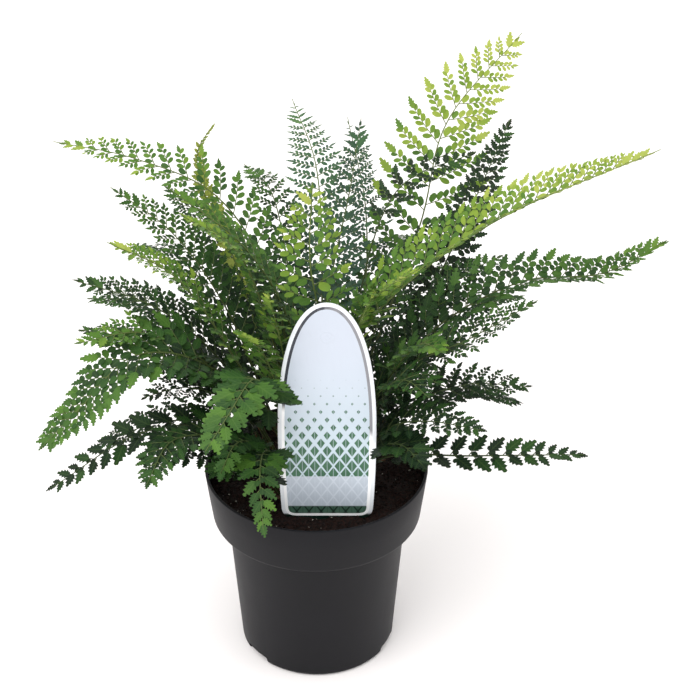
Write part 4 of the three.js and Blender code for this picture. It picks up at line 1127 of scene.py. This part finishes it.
FRONDS = [
    frond(1, "inner", 62, [(56, 75, 218), (70, 98, 268), (111, 125, 309)],
          bare=0.34, reach=39, roll=(-30, -36), lift=4, age=(0.38, 0.98), brown=0.7, spacing=11.5,
          seek=0.0),
    frond(2, "inner", 98, [(3, 45, 195), (0, 85, 247), (-14, 135, 266)],
          bare=0.29, reach=25, lift=6, age=(0.26, 0.5), form="fine", brown=0.0, spacing=7.0, blue=1.0,
          sweep=(80, 62), plump=0.95, seek=0.1),
    frond(3, "middle", 80, [(24, 45, 175), (27, 90, 217), (17, 150, 248)],
          bare=0.3, reach=19, age=(0.16, 0.38), form="fine", brown=0.1, spacing=9.0, blue=1.0,
          sweep=(76, 56), plump=0.75, seek=0.1),
    frond(4, "middle", 38, [(58, 38, 190), (88, 66, 248), (104, 95, 272)],
          bare=0.42, reach=18, roll=(-25, -25), lift=10, age=(0.0, 0.14), form="toothed", brown=0.3,
          spacing=6.8, plump=1.2, seek=0.1),
    frond(5, "inner", -12, [(22, -13, 200), (80, -22, 266), (162, -30, 313)],
          bare=0.24, reach=30, roll=(-10, -6), lift=36, age=(0.46, 0.92), brown=0.2, spacing=7.6,
          sweep=(58, 42), plump=1.15, seek=0.1),
    frond(6, "middle", 10, [(53, 10, 182), (105, 16, 216), (150, 21, 219), (181, 25, 236)],
          bare=0.24, reach=25, roll=(-12, -8), lift=30, age=(0.22, 0.5), form="toothed", brown=0.8,
          spacing=7.6, sweep=(62, 46), plump=1.15, seek=0.1),
    frond(7, "outer", -8, [(45, -15, 181), (78, -20, 204), (110, -25, 229)],
          bare=0.27, reach=24, roll=(-15, -15), lift=14, age=(0.18, 0.36), brown=0.5),
    frond(8, "outer", -24, [(35, -16, 128), (82, -24, 135), (138, -30, 140)],
          bare=0.24, reach=17, roll=(-10, -10), lift=18, age=(0.03, 0.18), form="broad", brown=0.5,
          spacing=9.0),
    frond(9, "outer", -40, [(37, -22, 150), (56, -38, 166), (83, -55, 172)],
          bare=0.27, reach=21, roll=(-10, -10), lift=14, age=(0.06, 0.2), form="toothed"),
    frond(10, "middle", -30, [(36, -19, 170), (50, -32, 190), (64, -46, 192)],
          bare=0.32, reach=20, lift=14, age=(0.1, 0.26)),
    frond(11, "inner", 150, [(-23, 15, 216), (-50, 20, 264), (-90, 25, 282), (-131, 30, 289)],
          bare=0.26, reach=27, roll=(25, 12), lift=16, age=(0.26, 0.68), spacing=10.0, plump=1.15),
    frond(12, "middle", 148, [(-42, 30, 220), (-58, 32, 264), (-59, 32, 283), (-51, 32, 297)],
          bare=0.5, reach=9, roll=(10, 10), lift=24, age=(0.74, 0.92), form="toothed", brown=0.3,
          spacing=4.0, seek=0.2),
    frond(13, "middle", 172, [(-45, 5, 205), (-72, 7, 250), (-102, 15, 271)],
          bare=0.29, reach=25, roll=(20, 20), lift=12, age=(0.18, 0.46), plump=1.1),
    frond(14, "inner", 192, [(-40, -12, 185), (-68, -22, 240), (-97, -45, 272)],
          bare=0.26, reach=23, roll=(15, 15), lift=12, age=(0.34, 0.74)),
    frond(15, "outer", 182, [(-45, -4, 175), (-80, -7, 214), (-120, -15, 235)],
          bare=0.26, reach=25, roll=(15, 15), lift=12, age=(0.06, 0.26), brown=0.5),
    frond(16, "middle", 218, [(-50, -20, 185), (-88, -43, 208), (-114, -65, 191), (-132, -80, 178)],
          bare=0.24, reach=30, roll=(10, 10), lift=6, age=(0.24, 0.44), form="toothed", brown=0.3,
          spacing=7.0, plump=1.25),
    frond(17, "middle", 196, [(-50, -14, 180), (-84, -25, 210), (-116, -50, 219)],
          bare=0.29, reach=23, roll=(10, 10), lift=12, age=(0.3, 0.6), plump=1.1),
    frond(18, "outer", 210, [(-45, -23, 150), (-86, -40, 161), (-133, -60, 140)],
          bare=0.22, reach=19, roll=(10, 10), lift=6, age=(0.02, 0.14), form="broad", brown=0.6,
          spacing=9.4),
    frond(19, "outer", 225, [(-42, -32, 150), (-70, -58, 168), (-80, -92, 166)],
          bare=0.24, reach=23, lift=4, age=(0.12, 0.28), form="toothed"),
    frond(20, "outer", 196, [(-40, -14, 158), (-65, -22, 176), (-87, -35, 178)],
          bare=0.29, reach=21, roll=(10, 10), lift=10, age=(0.06, 0.18), brown=0.5),
    frond(21, "middle", 240, [(-26, -28, 170), (-30, -62, 206), (-40, -88, 203), (-50, -105, 194)],
          bare=0.27, reach=25, lift=4, age=(0.2, 0.4), form="broad", brown=0.3, spacing=7.4),
    frond(22, "outer", 256, [(-24, -34, 145), (-27, -66, 155), (-25, -89, 136)],
          bare=0.24, reach=17, lift=4, age=(0.14, 0.42), form="broad", brown=0.3, spacing=7.4),
    frond(23, "outer", 240, [(-32, -32, 148), (-40, -52, 161), (-46, -72, 158)],
          bare=0.27, reach=16, lift=4, age=(0.08, 0.3), form="broad", brown=0.3, spacing=7.4),
    frond(24, "inner", 275, [(3, -8, 200), (-2, -23, 249), (0, -50, 306)],
          bare=0.44, reach=23, lift=6, age=(0.52, 0.76), brown=0.1, spacing=14.0, plump=1.45,
          seek=0.85),
    frond(25, "inner", 232, [(-22, -12, 200), (-36, -22, 252), (-62, -50, 290)],
          bare=0.29, reach=22, roll=(10, 10), lift=10, age=(0.38, 0.7), brown=0.9, plump=1.1),
    frond(26, "middle", 118, [(-14, 40, 205), (-24, 68, 242), (-40, 102, 242)],
          bare=0.29, reach=20, lift=10, age=(0.12, 0.36)),
    frond(27, "outer", 20, [(48, 14, 175), (73, 25, 212), (98, 36, 221)],
          bare=0.27, reach=22, roll=(-10, -10), lift=14, age=(0.12, 0.32)),
    frond(28, "inner", 26, [(20, 14, 195), (42, 32, 261), (83, 56, 271)],
          bare=0.68, reach=14, roll=(-20, -20), lift=10, age=(0.04, 0.18), form="toothed", brown=0.5),
]
print("fronds at the front and the sides:", len(FRONDS))

# %% [markdown]
# ## Fronds at the back, in the heart and at the foot
# A photograph from the front shows these as dark leaves behind others, or not at all. A fern
# grows evenly round its crown, so they fill the bearings and the heights that are left. The low
# ones at the outer ring and the edge get the darkest ages, which are partly painted shade.

# %% Facts of the other fronds
FRONDS += [
    frond(29, "outer", 138, [(-42, 42, 165), (-75, 75, 198), (-105, 102, 192)],
          bare=0.24, reach=25, age=(0.14, 0.34)),
    frond(30, "outer", 68, [(22, 52, 158), (40, 98, 188), (58, 138, 180)],
          bare=0.24, reach=24, age=(0.12, 0.32)),
    frond(31, "outer", 38, [(50, 36, 155), (85, 60, 178), (116, 82, 170)],
          bare=0.24, reach=26, age=(0.1, 0.28)),
    frond(32, "outer", 92, [(0, 50, 150), (-2, 95, 168), (-5, 135, 148)],
          bare=0.22, reach=27, age=(0.08, 0.24), form="toothed"),
    frond(33, "outer", 160, [(-50, 26, 160), (-90, 45, 186), (-126, 62, 180)],
          bare=0.24, reach=26, age=(0.12, 0.3)),
    frond(34, "outer", 115, [(-24, 52, 162), (-45, 98, 184), (-64, 136, 166)],
          bare=0.24, reach=27, age=(0.1, 0.28), form="toothed"),
    frond(35, "middle", 262, [(-16, -18, 160), (-26, -34, 205), (-36, -58, 232)],
          bare=0.29, reach=20, age=(0.44, 0.64), brown=0.3, plump=1.15),
    frond(36, "middle", -10, [(34, -8, 165), (52, -28, 205), (62, -56, 218)],
          bare=0.29, reach=20, age=(0.3, 0.52), form="toothed", brown=0.3, plump=1.2),
    frond(37, "heart", -30, [(14, -12, 190), (30, -28, 232), (52, -50, 262)],
          bare=0.29, reach=23, lift=10, age=(0.48, 0.74), brown=0.2, plump=1.15),
    frond(38, "heart", 180, [(-12, 2, 195), (-34, -4, 246), (-70, -14, 285)],
          bare=0.3, reach=24, roll=(10, 10), lift=10, age=(0.28, 0.6), plump=1.1),
    frond(39, "heart", 60, [(6, 22, 200), (18, 60, 248), (24, 100, 270)],
          bare=0.3, reach=23, age=(0.08, 0.26), spacing=9.5, blue=0.6),
    frond(40, "edge", -5, [(44, -3, 148), (78, -4, 166), (112, -6, 166)],
          bare=0.22, reach=24, roll=(-10, -10), lift=12, age=(0.04, 0.2)),
    frond(41, "edge", 14, [(42, 12, 140), (76, 20, 148), (110, 26, 136)],
          bare=0.22, reach=24, lift=10, age=(0.03, 0.16), form="toothed"),
    frond(42, "edge", -62, [(31, -24, 138), (44, -42, 154), (54, -60, 154)],
          bare=0.24, reach=21, age=(0.02, 0.14), form="broad", spacing=7.4),
    frond(43, "edge", 190, [(-44, -8, 140), (-78, -14, 150), (-114, -22, 140)],
          bare=0.22, reach=25, lift=10, age=(0.04, 0.22)),
    frond(44, "edge", 170, [(-44, 10, 150), (-80, 16, 166), (-116, 18, 156)],
          bare=0.22, reach=25, lift=10, age=(0.06, 0.28)),
    frond(45, "edge", 226, [(-30, -34, 134), (-40, -48, 148), (-50, -60, 150)],
          bare=0.22, reach=22, lift=4, age=(0.04, 0.22), form="broad", spacing=7.4),
    frond(46, "edge", 205, [(-40, -22, 134), (-64, -34, 146), (-88, -46, 146)],
          bare=0.22, reach=24, lift=6, age=(0.02, 0.16), form="toothed"),
    frond(47, "edge", 64, [(34, 52, 150), (62, 84, 176), (90, 112, 176)],
          bare=0.24, reach=26, age=(0.06, 0.24)),
    frond(48, "middle", 133, [(-28, 34, 180), (-56, 66, 220), (-84, 96, 232)],
          bare=0.27, reach=25, age=(0.1, 0.3)),
    frond(49, "outer", 50, [(30, 22, 180), (56, 36, 226), (88, 46, 246)],
          bare=0.29, reach=23, roll=(-10, -10), lift=10, age=(0.06, 0.26)),
    frond(50, "outer", -56, [(28, -20, 165), (44, -40, 192), (56, -66, 198)],
          bare=0.29, reach=21, age=(0.1, 0.3)),
    frond(51, "edge", -80, [(6, -20, 150), (16, -20, 195), (30, -30, 238)],
          bare=0.32, reach=21, age=(0.5, 0.72), brown=0.2, plump=1.3),
    frond(52, "edge", 262, [(-10, -18, 150), (-16, -20, 195), (-22, -40, 242)],
          bare=0.32, reach=21, age=(0.46, 0.66), brown=0.2, plump=1.3),
    frond(53, "edge", 178, [(-46, 2, 158), (-84, 4, 186), (-122, 2, 196)],
          bare=0.22, reach=25, lift=10, age=(0.06, 0.26)),
    frond(54, "edge", 150, [(-38, 24, 140), (-68, 42, 150), (-98, 56, 138)],
          bare=0.22, reach=26, age=(0.06, 0.24)),
    frond(55, "edge", 50, [(32, 36, 142), (58, 62, 150), (84, 86, 136)],
          bare=0.22, reach=26, age=(0.06, 0.24)),
    frond(56, "edge", 104, [(-10, 44, 140), (-20, 80, 150), (-30, 112, 136)],
          bare=0.22, reach=26, age=(0.06, 0.24), form="toothed"),
]
print("fronds in all:", len(FRONDS))

# %% [markdown]
# ## Ribs
# A rib runs smoothly through its points. A centripetal Catmull-Rom curve does that without
# loops, and evening it out by length lets every later step say "at this share of the rib". At
# each share the rib has a frame: along it, sideways in the blade, and out of the blade's face.

# %% Rib curve and its frame
ROUTE_STEPS = 120
RIB_STEP = 0.004


def smooth_route(points):
    """Places on a centripetal Catmull-Rom curve through the points, and their share of its length."""
    p = [np.array(q, float) for q in points]
    p = [2 * p[0] - p[1], *p, 2 * p[-1] - p[-2]]
    line = []
    for a, b, c, d in zip(p, p[1:], p[2:], p[3:]):
        before, here, after = (np.linalg.norm(v - u) ** 0.5 for u, v in ((a, b), (b, c), (c, d)))
        start = here * ((b - a) / before - (c - a) / (before + here) + (c - b) / here)
        end = here * ((c - b) / here - (d - b) / (here + after) + (d - c) / after)
        for w in np.arange(ROUTE_STEPS) / ROUTE_STEPS:
            line.append(b + start * w + (3 * (c - b) - 2 * start - end) * w ** 2
                        + (2 * (b - c) + start + end) * w ** 3)
    line.append(p[-2])
    line = np.array(line)
    run = np.concatenate([[0], np.cumsum(np.linalg.norm(np.diff(line, axis=0), axis=1))])
    return line, run


def rib_frame(frond, share):
    """Place, direction, sideways direction and upper face direction of a frond's rib."""
    line, run = frond["line"]

    def at(s):
        return np.array([np.interp(s * run[-1], run, line[:, i]) for i in range(3)])

    along = unit(at(min(share + RIB_STEP, 1)) - at(max(share - RIB_STEP, 0)))
    heading = line[-1] - line[0]
    level = unit(np.cross([heading[0], heading[1], 0], [0, 0, 1]))
    side = unit(level - along * (level @ along))
    face = np.cross(side, along)
    bladed = max(0, share - frond["bare"]) / (1 - frond["bare"])
    roll = math.radians(lerp(*frond["roll"], bladed))
    return (at(share), along, side * math.cos(roll) + face * math.sin(roll),
            face * math.cos(roll) - side * math.sin(roll))


for facts in FRONDS:
    facts["line"] = smooth_route(facts["route"])
print("rib lengths, mm:", [round(f["line"][1][-1]) for f in FRONDS[:6]], "...")

# %% [markdown]
# ## Room to grow
# Leaflets of neighbouring fronds don't grow through each other: a crowded one lifts, drops or
# stays short. Each leaflet looks for room before it stands. Places that are taken are kept by
# small cubes of space, so a look only meets its neighbours. The pot and the label keep a
# margin too.

# %% Places that are taken
ROOM_CELL = 3.0
CLEAR_ROOM = 0.9
POT_ROOM = 1.5
taken = {}


def cell_of(p):
    return tuple(int(math.floor(x / ROOM_CELL)) for x in p)


def take(p, owner):
    taken.setdefault(cell_of(p), []).append((p, owner))


def crowded(p, owner):
    """Whether a point stands too close to a place that another frond has taken."""
    x, y, z = cell_of(p)
    for i in (-1, 0, 1):
        for j in (-1, 0, 1):
            for k in (-1, 0, 1):
                for q, other in taken.get((x + i, y + j, z + k), ()):
                    if other != owner and sum((q - p) ** 2) < CLEAR_ROOM ** 2:
                        return True
    return False


def meets_pot_or_label(p):
    if math.hypot(p[0], p[1]) < RIM_RADIUS + POT_ROOM and p[2] < POT_HEIGHT + POT_ROOM:
        return True
    lean_back = math.radians(LABEL_LEAN_DEG)
    off = ((p[1] - LABEL_PLACE.y) * math.cos(lean_back)
           - (p[2] - LABEL_PLACE.z) * math.sin(lean_back))
    return (abs(off) < POT_ROOM and p[2] < LABEL_PLACE.z + LABEL_HEIGHT + POT_ROOM
            and abs(p[0] - LABEL_PLACE.x) < LABEL_WIDTH / 2 + POT_ROOM)


print("margin to the pot and the label, mm:", POT_ROOM)

# %% [markdown]
# ## Where a leaflet lies
# Each leaflet leaves the rib at a slant, droops a little, bends towards the frond's tip and
# twists on its own rib, because a fern turns its leaflets to the light. Leaflets stand closer
# and grow shorter towards the tip.

# %% Place, length and path of a leaflet
LAST_PAIR_AT = 0.975
CROWDING = 0.4
SWELL = 0.3
SWELL_OVER = 0.22
TAPER_FROM = 0.12
TAPER_POWER = 1.6
DROOP = 0.1
FALCATE = 0.1
LIGHT = np.array((-0.1, -0.6, 0.8))


def station_share(frond, t):
    """The share of the rib where the leaflet at share t of the blade stands."""
    return lerp(frond["bare"], LAST_PAIR_AT, t * (1 + CROWDING - CROWDING * t))


def length_share(t, least):
    """A leaflet's length as a share of the longest one."""
    swell = 1 - SWELL + SWELL * min(1, t / SWELL_OVER)
    taper = 1 - max(0, (t - TAPER_FROM) / (1 - TAPER_FROM)) ** TAPER_POWER
    return swell * lerp(least, 1, taper)


def leaflet_path(frond, t, hand, lift_deg, length):
    """A function from a share of the leaflet to its place, direction and face."""
    place, along, side, face = rib_frame(frond, station_share(frond, t))
    sweep = math.radians(lerp(*frond["sweep"], t))
    lift = math.radians(lift_deg)
    out = side * hand * math.cos(lift) + face * math.sin(lift)
    run = along * math.cos(sweep) + out * math.sin(sweep)
    across = unit(along - run * (along @ run))
    normal = unit(np.cross(run, across))
    if normal @ face < 0:
        normal = -normal
    light = unit(LIGHT - run * (LIGHT @ run))
    normal = unit(lerp(normal, light, frond["seek"]))
    across = unit(across - normal * (across @ normal))

    def at(s):
        spot = (place + run * length * s - normal * DROOP * length * s * s
                + across * FALCATE * length * s * s)
        way = unit(run - normal * 2 * DROOP * s + across * 2 * FALCATE * s)
        up = unit(normal - way * (normal @ way))
        return spot, way, up

    return at, across


print("longest leaflets, mm:", [f["reach"] for f in FRONDS[:6]], "...")

# %% Finding room for a leaflet
TRIALS = [  # lift in degrees on top of the frond's own, share of the full length
    (0, 1), (14, 1), (-14, 1), (28, 1), (-28, 1), (42, 1), (-42, 1), (0, 0.8), (21, 0.8),
    (-21, 0.8), (50, 0.8), (0, 0.6), (35, 0.6), (-35, 0.6), (0, 0.42), (40, 0.42),
]
LOOK_FROM = 3.0
LOOK_EVERY = 2.2
LOOK_WIDTH = 0.7
LOOK_TAPER = 0.75
SMALLEST_PINNULE = 2.4
LARGEST_PINNULE = 6.0


def pinnule_length(leaflet_length):
    return min(LARGEST_PINNULE, max(SMALLEST_PINNULE, 1.7 + 0.135 * leaflet_length))


def place_leaflet(frond, t, hand):
    """The first way of growing that finds room, or None where the pot or label is."""
    full = frond["reach"] * length_share(t, FORMS[frond["form"]]["least"])
    for turn, share in TRIALS:
        length = full * share
        at, across = leaflet_path(frond, t, hand, frond["lift"] + turn, length)
        spots = []
        for s in np.arange(LOOK_FROM, length + 0.1, LOOK_EVERY) / length:
            centre = at(s)[0]
            reach = pinnule_length(length) * LOOK_WIDTH * (1 - LOOK_TAPER * s)
            spots += [centre, centre + across * reach, centre - across * reach]
        blocked = any(meets_pot_or_label(p) for p in spots)
        if not blocked and not any(crowded(p, frond["name"]) for p in spots):
            for p in spots:
                take(p, frond["name"])
            return at, length
    return None if blocked else (at, length)


LOOKS_A_RIB = 120
for facts in FRONDS:
    for share in np.linspace(0, 1, LOOKS_A_RIB):
        take(rib_frame(facts, share)[0], facts["name"])
print("cubes taken by ribs:", len(taken))

# %% [markdown]
# ## Skeleton of a frond
# What the Geometry Nodes tree takes is a mesh of points and edges. Every point carries the
# numbers that the tree and the materials read: how thick the rib is there, and where a blade
# stands, its direction, face, splay, length and form.

# %% Points, edges and what they carry
ATTRIBUTES = {**CARRIED, "age": "FLOAT", "brown": "FLOAT", "blue": "FLOAT", "dry": "FLOAT"}


class Skeleton:
    """The points and edges of one frond."""

    def __init__(self, frond):
        self.frond = frond
        self.verts = []
        self.edges = []
        self.data = {name: [] for name in ATTRIBUTES}

    def point(self, spot, link, **values):
        """Adds a point, joined to the point with the number link, and gives its number."""
        self.verts.append(Vector(spot) * MM)
        for name, kind in ATTRIBUTES.items():
            blank = (0.0, 0.0, 0.0) if kind == "FLOAT_VECTOR" else 0
            self.data[name].append(values.get(name, blank))
        if link is not None:
            self.edges.append((link, len(self.verts) - 1))
        return len(self.verts) - 1

    def blade(self, spot, link, way, up, kind, sign, size, splay_deg, **values):
        """Adds a point that asks for a blade of the frond's own form."""
        shape = SHAPES_A_FORM * FORM_ORDER.index(self.frond["form"]) + kind + (sign < 0)
        return self.point(spot, link, run=way, face=up, splay=sign * math.radians(splay_deg),
                          leaf=size * MM, form=shape, blue=self.frond["blue"], **values)

    # The frond's age along its rib; near zero on the low fronds it is partly painted shade.
    def age_and_shade_at(self, share):
        bare = self.frond["bare"]
        return lerp(*self.frond["age"], max(0, share - bare) / (1 - bare))

    def mesh(self):
        mesh = bpy.data.meshes.new(self.frond["name"] + "_skeleton")
        mesh.from_pydata(self.verts, self.edges, [])
        for name, kind in ATTRIBUTES.items():
            layer = mesh.attributes.new(name, kind, "POINT")
            if kind == "FLOAT_VECTOR":
                layer.data.foreach_set("vector", np.array(self.data[name], float).ravel())
            else:
                layer.data.foreach_set("value", self.data[name])
        return mesh


print("numbers on each point:", len(ATTRIBUTES))

# %% [markdown]
# ## Rib and chaff
# The rib thins from foot to tip. Papery scales wrap the foot of the stalk, and thin out and
# shrink upwards. They use the plainest blade and the number called dry.

# %% Grow the rib and its chaff
STALK_HALF = 0.95
TIP_HALF = 0.22
RIB_POINTS = 40
CHAFF_SCALES = 14
CHAFF_FROM = 9
CHAFF_OVER = 28.0
CHAFF_SIZES = (3.5, 6.0)


def grow_rib(skeleton):
    frond = skeleton.frond
    last = None
    for share in np.linspace(0, 1, RIB_POINTS):
        spot, along, side, face = rib_frame(frond, share)
        thick = lerp(STALK_HALF, TIP_HALF, share ** 0.7) * MM
        last = skeleton.point(spot, last, thick=thick, age=skeleton.age_and_shade_at(share),
                              brown=frond["brown"] * (1 - share))


def grow_chaff(skeleton, dice):
    frond = skeleton.frond
    for k in range(CHAFF_SCALES):
        low = (CHAFF_FROM + CHAFF_OVER * (k / CHAFF_SCALES) ** 1.3) / frond["line"][1][-1]
        spot, along, side, face = rib_frame(frond, low)
        around = dice.uniform(0, 2 * math.pi)
        outward = side * math.cos(around) + face * math.sin(around)
        run = unit(along + outward * dice.uniform(0.25, 0.9))
        upper = unit(np.cross(run, np.cross(outward, run)))
        size = dice.uniform(*CHAFF_SIZES) * (1 - 0.4 * k / CHAFF_SCALES)
        skeleton.point(spot + outward * STALK_HALF * 0.8, None, run=run, face=upper,
                       leaf=size * MM, form=CHAFF, dry=1.0)


print("rib points and scales of a frond:", RIB_POINTS, CHAFF_SCALES)

# %% [markdown]
# ## Leaflets and their pinnules
# Along each leaflet the pinnules sit left and right in turn. The first one towards the frond's
# tip is the largest, as on a real shield fern, and they shrink until the leaflet runs out in
# its lobed end blade. A leaflet under 9 mm is one lobed blade.

# %% Grow a leaflet
SIDE_RIB_HALF = 0.28
END_RIB_HALF = 0.14
SIDE_RIB_BROWN = 0.3
SPLAY_UPPER_DEG = 56
SPLAY_LOWER_DEG = 50
SPLAY_EASE_DEG = 14
PITCH_SHARE = 0.36
FIRST_UPPER_SHARE = 1.1
LOWER_SHARE = 1.08
SHRINK = 0.45
YOUNGER = 0.12
END_YOUNGER = 0.14
END_OVERLAP = 1.04
ALL_BLADE_BELOW = 9.0


def grow_leaflet(skeleton, t, hand):
    frond = skeleton.frond
    found = place_leaflet(frond, t, hand)
    if found is None:
        return
    at, reach = found
    age_and_shade_here = skeleton.age_and_shade_at(station_share(frond, t))
    size = pinnule_length(reach) * frond["plump"]
    blade_share = 1.0 if reach < ALL_BLADE_BELOW else FORMS[frond["form"]]["fused"]
    looks = {"brown": SIDE_RIB_BROWN * frond["brown"]}
    link = None
    x = 0.0
    count = 0
    while x < reach * (1 - blade_share):
        s = x / reach
        spot, way, up = at(s)
        thick = SIDE_RIB_HALF * (1 - 0.5 * s) * MM
        if count == 0:
            link = skeleton.point(spot, None, thick=thick, age=age_and_shade_here, **looks)
            x += size * 0.5
        else:
            upper = count % 2 == 1
            grown_size = size * (1 - SHRINK * s) * (1.0 if upper else LOWER_SHARE)
            if count == 1:
                grown_size *= FIRST_UPPER_SHARE
            splay = (SPLAY_UPPER_DEG if upper else SPLAY_LOWER_DEG) - SPLAY_EASE_DEG * s
            link = skeleton.blade(spot, link, way, up, UPPER if upper else LOWER,
                                  hand if upper else -hand, grown_size, splay, thick=thick,
                                  age=age_and_shade_here + YOUNGER * s, **looks)
            x += size * PITCH_SHARE * (1 - 0.3 * s)
        count += 1
    spot, way, up = at(1 - blade_share)
    chord = unit(at(1.0)[0] - spot)
    skeleton.blade(spot, link, chord, up, END, hand, reach * blade_share * END_OVERLAP, 0.0,
                   thick=END_RIB_HALF * MM, age=age_and_shade_here + END_YOUNGER, **looks)


def frond_skeleton(frond, dice):
    skeleton = Skeleton(frond)
    grow_rib(skeleton)
    grow_chaff(skeleton, dice)
    pairs = round((1 - frond["bare"]) * frond["line"][1][-1] / frond["spacing"])
    for step in range(pairs):
        for hand in (1, -1):
            grow_leaflet(skeleton, (step + 0.5 + 0.12 * hand) / pairs, hand)
    tip, along, side, face = rib_frame(frond, LAST_PAIR_AT)
    skeleton.blade(tip, None, along, face, END, 1, FORMS[frond["form"]]["tip"], 0.0,
                   age=skeleton.age_and_shade_at(1.0))
    return skeleton.mesh()


print("most blade to a leaflet:", max(form["fused"] for form in FORMS.values()))

# %% [markdown]
# ## Growing them all
# Each skeleton goes through the tree with its own seed. The modifier's inputs are set by their
# identifiers before the object is first looked at, the result becomes a plain mesh, and the
# frond replaces its plain solid in the frame.

# %% Dress every frond
FIRST_SEED = 100
leaf_triangles = 0
most = 0
for number, facts in enumerate(FRONDS):
    dice = random.Random(FIRST_SEED + number)
    piece = new_object("fern_" + facts["name"], frond_skeleton(facts, dice))
    grown(piece, frond_tree, frond_sockets,
          {"Blades": blades, "Seed": number + 1, "Leaf": leaf_skin, "Stalk": stalk_skin})
    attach(piece, "root")
    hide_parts(facts["name"])
    triangles = sum(len(p.vertices) - 2 for p in piece.data.polygons)
    leaf_triangles += triangles
    most = max(most, triangles)
print("triangles in all fronds:", leaf_triangles, "and in the largest:", most)
